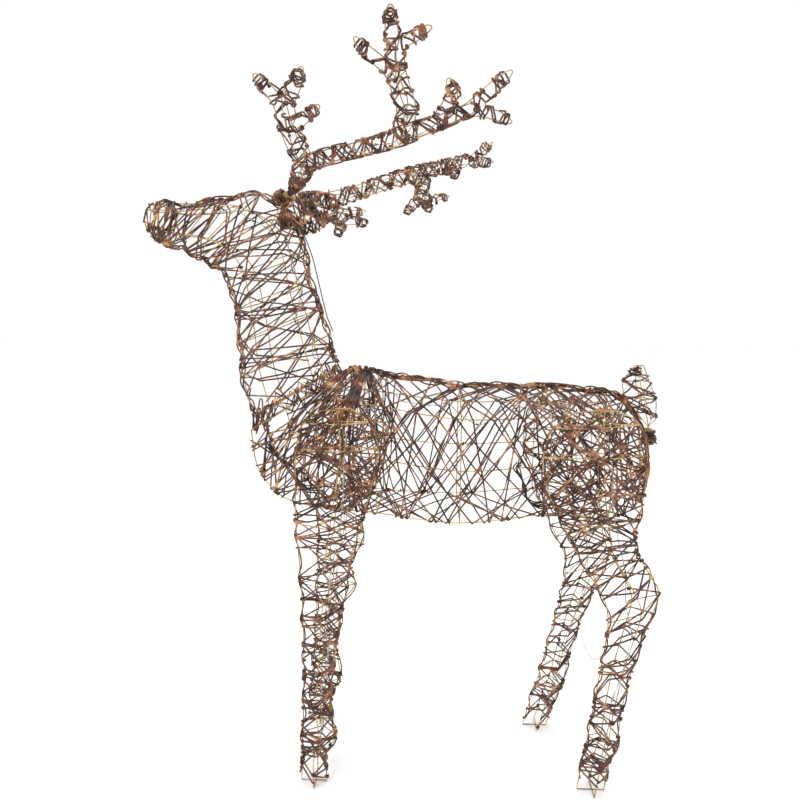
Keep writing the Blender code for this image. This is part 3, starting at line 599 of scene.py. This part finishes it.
def wind_all(builder, cage, rng, count, start, end, slopes, rod_radius, **ways):
    """Many wires between two places, half of them each way round and each way along."""
    reach = end - start
    for n in range(count):
        low = start + reach * 0.04 * rng.random()
        high = end - reach * 0.03 * rng.random()
        if n % 2:
            low, high = high, low
        wind(builder, cage, rng, low, high, slopes, rod_radius, 1 if n % 4 < 2 else -1, **ways)


def twist_along(builder, cage, rng, rod, start, end, pitch, reach, rod_radius):
    """A wire that runs along a rod, twisting loosely round it."""
    s = start
    way = 1.0 if end > start else -1.0
    angle = rng.uniform(0, 2 * math.pi)
    path = []
    while (end - s) * way > 0:
        place, along, out = cage.at(rod, s)
        side = along.cross(out)
        r = (rod_radius + WIRE) * rng.uniform(1.0, reach)
        path.append(place + (out * math.cos(angle) + side * math.sin(angle)) * r)
        angle += math.radians(rng.uniform(45, 75))
        s += way * pitch / 6 * rng.uniform(0.7, 1.3)
    if len(path) > 3:
        builder.tube(smooth(path, 3), WIRE, 6)


def rods_of(builder, cage, rings, radius, sides=8, double=()):
    for rod in cage.rods:
        builder.tube(rod, radius, sides)
    for r in rings:
        row = [Vector(p) for p in cage.rows[r]]
        middle = sum(row, Vector()) / len(row)
        for k in range(2 if r in double else 1):
            shift = (cage.rows[min(r + 1, len(cage.rows) - 1)][0] - cage.rows[max(r - 1, 0)][0])
            shift = shift.normalized() * (k * radius * 2.3)
            ring = []
            for i in range(len(row)):
                a, b = row[i], row[(i + 1) % len(row)]
                ring.append(a + (a - middle).normalized() * radius * 0.6 + shift)
                ring.append(a.lerp(b, 0.5) + shift)
            builder.tube(ring, radius, sides, True)


# ---- lamps and loose loops -------------------------------------------------------------------------
def lamp(builder, spot, way):
    """A small clear lamp with its black lampholder, at a spot on a light string."""
    way = way.normalized()
    builder.turned([(0.0004, -0.0062), (0.0013, -0.0058), (0.0015, -0.0028), (0.0013, -0.0016)],
                   spot, way, 10, 1)
    builder.turned([(0.0016, -0.0016), (0.0021, 0.0), (0.0021, 0.0030), (0.0015, 0.0048), (0.0003, 0.0056)],
                   spot, way, 10, 0)
    builder.turned([(0.0004, -0.001), (0.0007, 0.001), (0.0004, 0.0025)], spot, way, 6, 2)


def light_string(name, spots, body, rng, node, before=(), after=()):
    """A thin clear wire pair through its lamps, sagging a little between them."""
    builder = Builder()
    stops = [Vector(p) for p in before] + [Vector(s) for s in spots] + [Vector(p) for p in after]
    path = []
    for a, b in zip(stops, stops[1:]):
        sag = Vector((rng.gauss(0, 0.004), rng.gauss(0, 0.004), -rng.uniform(0.002, 0.009)))
        path += [a, a.lerp(b, 0.33) + sag, a.lerp(b, 0.66) + sag * rng.uniform(0.5, 1.1)]
    path.append(stops[-1])
    route = smooth(path, 4)
    for twist in (0.0, math.pi):
        line = []
        for k, p in enumerate(route):
            way = (route[min(k + 1, len(route) - 1)] - route[max(k - 1, 0)]).normalized()
            side = way.orthogonal().normalized()
            side = Matrix.Rotation(twist + k * 0.9, 3, way) @ side
            line.append(p + side * LAMP_WIRE)
        builder.tube(line, LAMP_WIRE, 5, slot=0)
    for k, spot in enumerate(spots):
        spot = Vector(spot)
        nxt = Vector(spots[min(k + 1, len(spots) - 1)]) - Vector(spots[max(k - 1, 0)])
        lamp(builder, spot, nxt + drift(rng, 0.02))
    return builder.make(name, [CLEAR_WIRE, BLACK, LAMP_CORE], body, "lamp_wire", [node])


def cage_spots(table, count, reach, side=0.0, lean=0.0):
    """The lamps' places in a cage, the same as the CAD's."""
    ends = section_ends(table, side, lean)
    middles = [(low + high) / 2 for low, high, _ in ends]
    halves = [(high - low).length / 2 for low, high, _ in ends]
    alongs = [(high - low).normalized() for low, high, _ in ends]
    widths = [width for _, _, width in ends]
    total = [0.0]
    for a, b in zip(middles, middles[1:]):
        total.append(total[-1] + (b - a).length)
    spots = []
    for k in range(count):
        wanted = total[-1] * (FIRST_LAMP + LAMP_SPAN * k / (count - 1))
        r = max(i for i in range(len(total) - 1) if total[i] <= wanted)
        part = (wanted - total[r]) / (total[r + 1] - total[r])
        turn = LAMP_SWINGS[k % len(LAMP_SWINGS)]
        along = alongs[r].lerp(alongs[r + 1], part).normalized()
        ray = along * ((halves[r] * (1 - part) + halves[r + 1] * part) * math.cos(turn))
        ray += Vector((0, (widths[r] * (1 - part) + widths[r + 1] * part) * math.sin(turn), 0))
        spots.append(middles[r].lerp(middles[r + 1], part) + ray * reach)
    return spots


def tangle(builder, middle, axis, rng, count):
    """Loose loops of wire that bind a socket to the cage round it."""
    side = axis.orthogonal().normalized()
    up = axis.cross(side)
    for _ in range(count):
        reach = rng.uniform(0.0085, 0.0130)
        tilt = drift(rng, 0.003)
        shift = axis * rng.uniform(-0.016, 0.002)
        phase = rng.uniform(0, 2 * math.pi)
        path = []
        for k in range(15):
            a = phase + 2.2 * math.pi * k / 14
            path.append(middle + shift + (side * math.cos(a) + up * math.sin(a)) * reach
                        + axis * (0.005 * math.sin(a + phase)) + tilt * (k / 14))
        builder.tube(path, WIRE, 6)


def ring_place(row, share):
    """A place on a ring of corners, by the share of its turn from the back rod."""
    spot = (share % 1.0) * len(row)
    return row[int(spot) % len(row)].lerp(row[(int(spot) + 1) % len(row)], spot - int(spot))


def join_rings(builder, torso, neck, rng):
    """Wires that lace the neck's lower ring to the torso's front ring, all the way round."""
    for _ in range(3):
        path, share = [], rng.random()
        stop = share + 1.0
        k = 0
        while share < stop:
            row = torso.rows[0] if k % 2 else neck.rows[0]
            other = torso.rows[1] if k % 2 else neck.rows[1]
            into = rng.uniform(0.0, 0.12) if rng.random() < 0.7 else rng.uniform(0.15, 0.35)
            spot = ring_place(row, share).lerp(ring_place(other, share), into)
            middle = sum(row, Vector()) / len(row)
            out = (spot - middle).normalized()
            way = (ring_place(other, share) - ring_place(row, share)).normalized()
            path.append(spot + out * (ROD + WIRE))
            if rng.random() < 0.5:
                path += [spot + way * (ROD + WIRE) + out * 0.0004, spot - out * (ROD + WIRE)]
            share += rng.uniform(0.016, 0.065)
            k += 1
        builder.tube(path, WIRE, 6)


# ---- the deer's parts ------------------------------------------------------------------------------
def make_torso():
    cage = Cage(section_rows(TORSO, TORSO_RODS))
    frame_build = Builder()
    rods_of(frame_build, cage, range(len(TORSO)), ROD, double=(0, 7))
    frame_build.make("torso_rods", [TAN], "deer", "tan_steel", ["torso_frame"])
    rng = random.Random(11)
    wire = Builder()
    length = cage.length
    wind_all(wire, cage, rng, 28, 0.0, length * 0.99, (0.48, 0.90), ROD, edges=TORSO_EDGES, loops=0.2,
             backs=0.30, bow=0.014)
    wind_all(wire, cage, rng, 2, 0.0, length * 0.99, (0.10, 0.30), ROD, edges=TORSO_EDGES, bow=0.008)
    # the chest's fan, wound closer
    wind_all(wire, cage, rng, 5, 0.0, cage.row_length(3) * 1.15, (0.08, 0.42), ROD, edges=TORSO_EDGES,
             loops=0.3, backs=0.25, bow=0.012)
    join_rings(wire, cage, Cage(section_rows(NECK_HEAD, NECK_RODS)), rng)
    for _ in range(6):
        start = length * (0.01 + 0.05 * rng.random())
        twist_along(wire, cage, rng, 0, start, length * (0.93 + 0.05 * rng.random()), 0.11, 3.0, ROD)
    tangle(wire, TAIL_FOOT + SHIFT - TAIL_AXIS * 0.014, TAIL_AXIS, rng, 12)
    wire.make("torso_winding", [BROWN], "deer", "brown_wire", ["torso_wrap"])
    light_string("torso_lights", cage_spots(TORSO, 12, 0.72), "deer", random.Random(31),
                 "torso_light_string", (CONNECTOR_ENDS["chest"][0],), (CONNECTOR_ENDS["hip"][1],))
    return cage


def make_neck():
    cage = Cage(section_rows(NECK_HEAD, NECK_RODS))
    frame_build = Builder()
    rods_of(frame_build, cage, range(len(NECK_HEAD)), ROD, double=(0, 5))
    posts = []
    for side in (-1, 1):
        foot, axis, _ = antler_frame_of(side)
        posts.append(foot + axis * (-0.0195) - Vector((0, 0, 0.0096)))
    bracket = [cage.rows[5][-1], *posts, cage.rows[5][1]]
    frame_build.tube(smooth(bracket, 4), ROD, 8)
    frame_build.make("neck_head_rods", [TAN], "deer", "tan_steel", ["neck_head_frame"])
    rng = random.Random(12)
    wire = Builder()
    length = cage.length
    wind_all(wire, cage, rng, 10, 0.0, length, (0.16, 0.95), ROD, edges=NECK_EDGES, loops=0.35, backs=0.25,
             bow=0.010)
    wind_all(wire, cage, rng, 2, length * 0.92, length, (0.08, 0.30), ROD, backs=0.0)
    wind_all(wire, cage, rng, 3, 0.0, cage.row_length(4), (0.12, 0.55), ROD, edges=NECK_EDGES, loops=0.3,
             backs=0.2)
    for rod in (0, 3):
        for _ in range(3):
            twist_along(wire, cage, rng, rod, length * 0.02, length * 0.97, 0.09, 3.0, ROD)
    # the poll, where the ears and antlers are tied in: many crossing turns
    poll = cage.row_length(5)
    wind_all(wire, cage, rng, 3, poll - 0.085, poll + 0.060, (0.2, 1.6), ROD, loops=0.4, bow=0.03)
    for side in (-1, 1):
        foot, axis, _ = antler_frame_of(side)
        tangle(wire, foot - axis * 0.021, axis, rng, 16)
    wire.make("neck_head_winding", [BROWN], "deer", "brown_wire", ["neck_head_wrap"])
    light_string("neck_head_lights", cage_spots(NECK_HEAD, 10, 0.72), "deer", random.Random(32),
                 "neck_head_light_string", (CONNECTOR_ENDS["chest"][1],))
    return cage


def make_leg(word, side, part, table, lean, seed):
    cage = Cage(section_rows(table, LEG_RODS, side, lean))
    rows = cage.rows
    builder = Builder()
    front, inner, back, outer = cage.rods
    builder.tube(front + back[::-1], ROD, 8)
    builder.tube(inner + outer[::-1], ROD, 8)
    for ring in (rows[r] for r in LEG_RINGS[part]):
        middle = sum(ring, Vector()) / len(ring)
        builder.tube([p + (p - middle).normalized() * ROD * 0.5 for p in ring], ROD, 8, True)
    builder.make(f"{word}_{part}_leg_rods", [TAN], "deer", "tan_steel", [f"{word}_{part}_leg_frame"])
    rng = random.Random(seed)
    wire = Builder()
    length = cage.length
    top = length * 0.02
    foot = length * 0.985
    wind_all(wire, cage, rng, LEG_WIRES[part], top, foot, (0.15, 0.65), ROD, edges=LEG_EDGES, loops=0.4,
             backs=0.2, bow=0.012)
    wind_all(wire, cage, rng, 2, length * 0.86, length * 0.99, (0.30, 0.9), ROD, loops=0.3, bow=0.02)
    # the top of the leg, over the shoulder or the thigh, is wound much more densely
    high = cage.row_length(TOP_ROW[part])
    wind_all(wire, cage, rng, TOP_WIRES[part], top, high, (0.15, 1.5), ROD, loops=0.35, backs=0.2,
             bow=0.04)
    for rod in LEG_EDGES:
        twist_along(wire, cage, rng, rod, top, foot, 0.08, 2.0, ROD)
    wire.make(f"{word}_{part}_leg_winding", [BROWN], "deer", "brown_wire", [f"{word}_{part}_leg_wrap"])
    light_string(f"{word}_{part}_leg_lights", cage_spots(table, 6, 0.34, side, lean), "deer",
                 random.Random(seed + 100), f"{word}_{part}_leg_light_string")


def on_side(spot, side):
    """The same place or way on the deer's left (-1) or right (1)."""
    return Vector((spot.x, side * spot.y, spot.z))


def antler_frame_of(side):
    foot = on_side(ANTLER_FOOT, side) + SHIFT
    outward = Vector((0, side * math.sin(ANTLER_SPLAY), math.cos(ANTLER_SPLAY)))
    through = Vector((1, 0, 0)).cross(outward)
    axis = on_side(ANTLER_AXIS, side)
    turn = Matrix.Rotation(RIGHT_TURN if side > 0 else 0.0, 3, axis)

    def to_deer(back, out, deep=0.0):
        return foot + turn @ (Vector((back, 0, 0)) + outward * out + through * deep)

    return foot, axis, to_deer


def antler_corner_rows():
    parents = {child: word for word, (children, _) in ANTLER.items() for child in children}
    rows = {}
    for word, (children, stations) in ANTLER.items():
        line = [Vector((b, o)) for b, o, _ in stations]
        parent = parents.get(word)
        line.insert(0, Vector(ANTLER[parent][1][-1][:2]) if parent else Vector((0.0, 0.0)))
        if children:
            starts = [Vector(ANTLER[child][1][0][:2]) for child in children]
            line.append(sum(starts, Vector((0, 0))) / 2)
        rows[word] = []
        for k, (b, o, wide) in enumerate(stations):
            way = (line[min(k + 2, len(line) - 1)] - line[k]).normalized()
            side = Vector((-way.y, way.x)) * wide
            deep = wide * ANTLER_DEPTH
            rows[word].append([(b + side.x, o + side.y, 0.0), (b, o, deep),
                               (b - side.x, o - side.y, 0.0), (b, o, -deep)])
    return rows


def parting(word):
    children, stations = ANTLER[word]
    fork = Vector(stations[-1][:2])
    lines = []
    for child, turn in zip(children, (-1, 1)):
        b, o, wide = ANTLER[child][1][0]
        way = (Vector((b, o)) - fork).normalized()
        lines.append((fork + Vector((-way.y, way.x)) * turn * wide, way))
    (p, u), (q, v) = lines
    gap = q - p
    reach = (gap.x * v.y - gap.y * v.x) / (u.x * v.y - u.y * v.x)
    spot = p + u * reach
    return spot.x, spot.y, 0.0


def make_antler(word, side):
    foot, axis, to_deer = antler_frame_of(side)
    rows = antler_corner_rows()
    body = f"{word}_antler"
    edge, faces, rings = [foot], [], []
    chains = []

    def grow(name, behind, chain):
        children, _ = ANTLER[name]
        corners = [[to_deer(*spot) for spot in row] for row in rows[name]]
        chain = chain + corners
        edge.extend(row[0] for row in corners)
        if not children:
            chains.append(chain)
        if children:
            for i in (1, 3):
                faces.append([behind[i]] + [row[i] for row in corners])
            crotch = to_deer(*parting(name))
            rings.append([corners[-1][1], crotch, corners[-1][3]])
            grow(children[0], corners[-1], chain)
            edge.append(crotch)
            grow(children[1], corners[-1], chain)
        edge.extend(row[2] for row in reversed(corners))

    grow("stem", [foot] * 4, [])
    build = Builder()
    build.tube(bent(bent(edge)), THIN_ROD, 6, True)
    for line in faces:
        build.tube(smooth(line, 3), THIN_ROD, 8)
    for ring in rings:
        build.tube(ring, THIN_ROD, 8)
    for name in ("stem", "beam", "crown"):
        for k, row in enumerate([[to_deer(*s) for s in r] for r in rows[name]]):
            if k % 2 == (0 if name == "crown" else 1):
                build.tube(row, THIN_ROD, 8, True)
    build.turned([(0.0008, -0.034), (0.0017, -0.032), (0.0017, 0.0), (0.0012, 0.0015)], foot, axis, 12)
    build.make(f"{word}_antler_rods", [TAN], body, "tan_steel", [f"{word}_antler_frame"])

    rng = random.Random(21 if side < 0 else 22)
    parts = {"brow": Builder(), "beam": Builder(), "crown": Builder()}
    for name, (children, _) in ANTLER.items():
        corners = [[to_deer(*spot) for spot in row] for row in rows[name]]
        parent = [w for w, (kids, _) in ANTLER.items() if name in kids]
        corners.insert(0, [to_deer(*spot) for spot in rows[parent[0]][-1]] if parent else [foot] * 4)
        cage = Cage(corners, 4)
        part = next((word for word in ("brow", "crown") if name.startswith(word)), "beam")
        target = parts[part]
        tip = not children
        start, end = (0.0 if parent else 0.006), cage.length * (0.84 if tip else 1.0)
        count = ANTLER_WIRES["tip" if tip else "stem" if name == "stem" else part]
        wind_all(target, cage, rng, count, start, end, (0.35, 1.0), THIN_ROD, loops=0.25,
                 backs=0.1, bow=0.035)
        if tip:
            wind(target, cage, rng, cage.length * 0.70, cage.length * 0.86, (0.12, 0.22), THIN_ROD, 1,
                 loops=0.0, backs=0.0)
    for name, builder in parts.items():
        builder.make(f"{word}_antler_{name}_winding", [BROWN], body, "brown_wire",
                     [f"{word}_antler_{name}_wrap"])
    spots = [to_deer(b, o, 0.0) for branch in ("stem", "beam", "rear_beam") for b, o, _ in ANTLER[branch][1]]
    light_string(f"{word}_antler_lights", spots, body, random.Random(41 if side < 0 else 42),
                 f"{word}_antler_light_string")

    sleeve = Builder()
    sleeve.turned([(0.0062, -0.0040), (0.0062, -0.0060), (0.0041, -0.0062), (0.0041, -0.0358),
                   (0.0036, -0.0360), (0.0029, -0.0360), (0.0029, -0.0044), (0.0050, -0.0040)],
                  foot, axis, 24)
    sleeve.make(f"{word}_antler_grommet", [BLACK], f"{word}_sleeve", "black_plastic",
                [f"{word}_antler_sleeve"])
    socket = Builder()
    socket.turned([(0.0058, -0.0065), (0.0058, -0.0325), (0.0044, -0.0325), (0.0044, -0.0065),
                   (0.0058, -0.0065)], foot, axis, 24)
    socket.make(f"{word}_antler_tube", [TAN], "deer", "tan_steel", [f"{word}_antler_socket"])


def make_ear(word, side):
    root = on_side(EAR_ROOT, side) + SHIFT
    way, wide = on_side(EAR_WAY, side), on_side(EAR_WIDE, side)
    wide = (wide - way * wide.dot(way)).normalized()
    hollow = way.cross(wide)
    rows = []
    for share, half, deep in EAR_SHAPE:
        middle = root + way * (EAR_LENGTH * share)
        rows.append([middle + wide * half, middle + hollow * deep, middle - wide * half,
                     middle - hollow * (deep * 0.6 + 0.0015)])
    cage = Cage(rows)
    build = Builder()
    build.tube(cage.rods[0] + cage.rods[2][::-1], THIN_ROD, 8)
    build.tube(cage.rods[1], THIN_ROD, 8)
    for r in (1, 2, 3):
        build.tube([rows[r][0], rows[r][1], rows[r][2]], THIN_ROD, 8)
    build.make(f"{word}_ear_rods", [TAN], "deer", "tan_steel", [f"{word}_ear_frame"])
    rng = random.Random(51 if side < 0 else 52)
    wire = Builder()
    wind_all(wire, cage, rng, 6, 0.001, cage.length * 0.95, (0.2, 0.8), THIN_ROD, bow=0.03)
    wire.make(f"{word}_ear_winding", [BROWN], "deer", "brown_wire", [f"{word}_ear_wrap"])


def make_tail():
    cage = Cage(section_rows(TAIL, LEG_RODS))
    foot = TAIL_FOOT + SHIFT
    build = Builder()
    build.tube([foot] + cage.rods[0] + cage.rods[2][::-1], THIN_ROD, 8, True)
    build.tube([foot] + cage.rods[1] + cage.rods[3][::-1], THIN_ROD, 8, True)
    for r in (1, 2):
        build.tube(cage.rows[r], THIN_ROD, 8, True)
    build.turned([(0.0009, -0.030), (0.0017, -0.028), (0.0017, 0.0), (0.0010, 0.0012)], foot, TAIL_AXIS)
    build.make("tail_rods", [TAN], "tail", "tan_steel", ["tail_frame"])
    rng = random.Random(61)
    wire = Builder()
    wind_all(wire, cage, rng, 5, cage.length * 0.03, cage.length * 0.97, (0.3, 0.9), THIN_ROD, bow=0.06)
    wire.make("tail_winding", [BROWN], "tail", "brown_wire", ["tail_wrap"])
    socket = Builder()
    socket.turned([(0.0044, -0.004), (0.0044, -0.034), (0.0028, -0.034), (0.0028, -0.004),
                   (0.0044, -0.004)], foot, TAIL_AXIS, 24)
    socket.make("tail_tube", [TAN], "deer", "tan_steel", ["tail_socket"])


def tails(builder, word, end, start):
    """The black leads that leave a connector's end together."""
    rng = random.Random(91 + len(word) + end)
    for _ in range(TAIL_LEADS):
        off = Vector((rng.uniform(-1, 1), rng.uniform(-1, 1), rng.uniform(-1, 1))) * 0.0035
        route = [start] + [Vector(p) + SHIFT + off * (k + 1) for k, p in enumerate(TAILS[word][end])]
        builder.tube(smooth(route, 6), 0.0014, 6)


def make_connector(word):
    middle, axis = CONNECTORS[word]
    plug = Builder()
    collar = [(0.0010, 0.0160), (0.0020, 0.0158), (0.0027, 0.0090), (0.0028, 0.0062), (0.0046, 0.0060)]
    for k in range(4):
        h = 0.0054 - k * 0.0013
        collar += [(0.0048, h), (0.0048, h - 0.0006), (0.0044, h - 0.0007), (0.0044, h - 0.0012)]
    collar += [(0.0046, 0.0003), (0.0030, 0.00015)]
    plug.turned(collar[::-1], middle, axis, 24)
    tails(plug, word, 0, middle + axis * 0.0155)
    plug.make(f"{word}_connector_plug", [BLACK], "deer", "black_plastic", [f"{word}_plug"])
    socket = Builder()
    body = [(0.0030, -0.00015), (0.0042, -0.0004), (0.0042, -0.0076), (0.0036, -0.0080)]
    for k in range(3):
        h = -0.0084 - k * 0.0018
        body += [(0.0034 - k * 0.0004, h), (0.0034 - k * 0.0004, h - 0.0008),
                 (0.0029 - k * 0.0004, h - 0.0010), (0.0029 - k * 0.0004, h - 0.0016)]
    body += [(0.0020, -0.0150), (0.0010, -0.0158)]
    socket.turned(body[::-1], middle, axis, 24)
    tails(socket, word, 1, middle - axis * 0.0155)
    socket.make(f"{word}_connector_socket", [BLACK], "deer", "black_plastic", [f"{word}_socket"])


def tie_loop(name, node, middle, long_way, short_way, half_long, half_short):
    """A cable tie round two rods: a flat ribbon with its head and its cut-off tail."""
    builder = Builder()
    long_way, short_way = long_way.normalized(), short_way.normalized()
    across = long_way.cross(short_way).normalized()
    points = []
    for k in range(28):
        turn = 2 * math.pi * (k + 0.5) / 28
        reach = math.copysign(max(0.0, half_long - half_short), math.sin(turn)) + half_short * math.sin(turn)
        points.append(middle + short_way * (half_short * math.cos(turn)) + long_way * reach)
    for shift in (-0.0006, 0.0, 0.0006):
        builder.tube([p + across * shift for p in points], 0.00062, 6, True)
    head = points[7] + (points[7] - middle).normalized() * 0.0008
    builder.turned([(0.0008, -0.0020), (0.0020, -0.0018), (0.0021, 0.0018), (0.0008, 0.0020)],
                   head, across, 8)
    bend = [head, head + (head - middle).normalized() * 0.004 + across * 0.002,
            head + (head - middle).normalized() * 0.007 + across * 0.005]
    builder.tube(smooth(bend, 4), 0.0006, 6)
    builder.make(name, [BLACK], "deer", "black_plastic", [node])


def crossing(rod_a, rod_b):
    for a0, a1 in zip(rod_a, rod_a[1:]):
        for b0, b1 in zip(rod_b, rod_b[1:]):
            da, db, gap = a1 - a0, b1 - b0, b0 - a0
            across = da.x * db.z - da.z * db.x
            if abs(across) < 1e-9:
                continue
            s = (gap.x * db.z - gap.z * db.x) / across
            t = (gap.x * da.z - gap.z * da.x) / across
            if 0 <= s <= 1 and 0 <= t <= 1:
                return a0 + da * s, b0 + db * t
    raise ValueError("the rods don't cross")


def make_ties(torso_rows, neck_rows):
    for side, word in ((-1, "left"), (1, "right")):
        for table, part, lean in ((FRONT_LEG, "front", FRONT_LEAN), (REAR_LEG, "rear", REAR_LEAN)):
            rows = section_rows(table, LEG_RODS, side, lean if side > 0 else 0.0)
            inner = [row[1] for row in rows]
            for place_word, right_rod, left_rod in (("side", 2, 5), ("belly", 3, 4)):
                rod = [row[right_rod if side > 0 else left_rod] for row in torso_rows]
                on_leg, on_torso = crossing(inner, rod)
                half = abs(on_leg.y - on_torso.y) / 2 + TIE_ROOM
                tie_loop(f"{word}_{part}_leg_{place_word}_strap", f"{word}_{part}_leg_{place_word}_tie",
                         (on_leg + on_torso) / 2, Vector((0, 1, 0)), Vector((1, 0, 1)), half, TIE_ROOM)
    for word, a0, a1, b0, b1 in (("right", 1, 2, 1, 2), ("left", 5, 4, 6, 5)):
        on_neck = neck_rows[0][a0].lerp(neck_rows[0][a1], 0.45)
        on_torso = torso_rows[0][b0].lerp(torso_rows[0][b1], 0.5)
        way = on_neck - on_torso
        rod = (torso_rows[0][b1] - torso_rows[0][b0]).normalized()
        long_way = (way - rod * way.dot(rod)).normalized()
        tie_loop(f"{word}_neck_strap", f"{word}_neck_tie", (on_neck + on_torso) / 2, long_way,
                 rod.cross(long_way), way.dot(long_way) / 2 + TIE_ROOM, TIE_ROOM)


def make_cords():
    for name, node, route, radius, material, slot in (
            ("head_lead", "antler_lead", ANTLER_LEAD, ANTLER_LEAD_R, BLACK, "black_plastic"),
            ("hind_lead", "rear_leg_lead", REAR_LEG_LEAD, REAR_LEG_LEAD_R, CLEAR_WIRE, "lamp_wire")):
        points = [Vector(p) + SHIFT for p in smooth(route, 3)]
        curve = bpy.data.curves.new(name, "CURVE")
        curve.dimensions = "3D"
        curve.bevel_depth = radius
        curve.bevel_resolution = 3
        curve.use_fill_caps = True
        spline = curve.splines.new("POLY")
        spline.points.add(len(points) - 1)
        for spot, point in zip(spline.points, points):
            spot.co = (*point, 1.0)
        curve.materials.append(material)
        cord = new_object(name, curve)
        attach(cord, "deer")
        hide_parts(node)


set_stage()
BROWN = wound_wire_paint()
TAN = rod_paint()
BLACK = black_paint()
CLEAR_WIRE = clear_paint("clear_wire_skin", (0.62, 0.58, 0.52), 0.22, 0.55)
LAMP_CORE = clear_paint("lamp_core", (0.80, 0.72, 0.50), 0.18, 0.30)
make_cords()
torso_cage = make_torso()
neck_cage = make_neck()
for leg_side, leg_word in ((-1, "left"), (1, "right")):
    for leg_table, leg_part, leg_lean in ((FRONT_LEG, "front", FRONT_LEAN), (REAR_LEG, "rear", REAR_LEAN)):
        make_leg(leg_word, leg_side, leg_part, leg_table, leg_lean if leg_side > 0 else 0.0,
                 (81 if leg_side < 0 else 85) + (0 if leg_part == "front" else 2))
    make_antler(leg_word, leg_side)
    make_ear(leg_word, leg_side)
make_tail()
for connector_word in CONNECTORS:
    make_connector(connector_word)
make_ties(torso_cage.rows, neck_cage.rows)
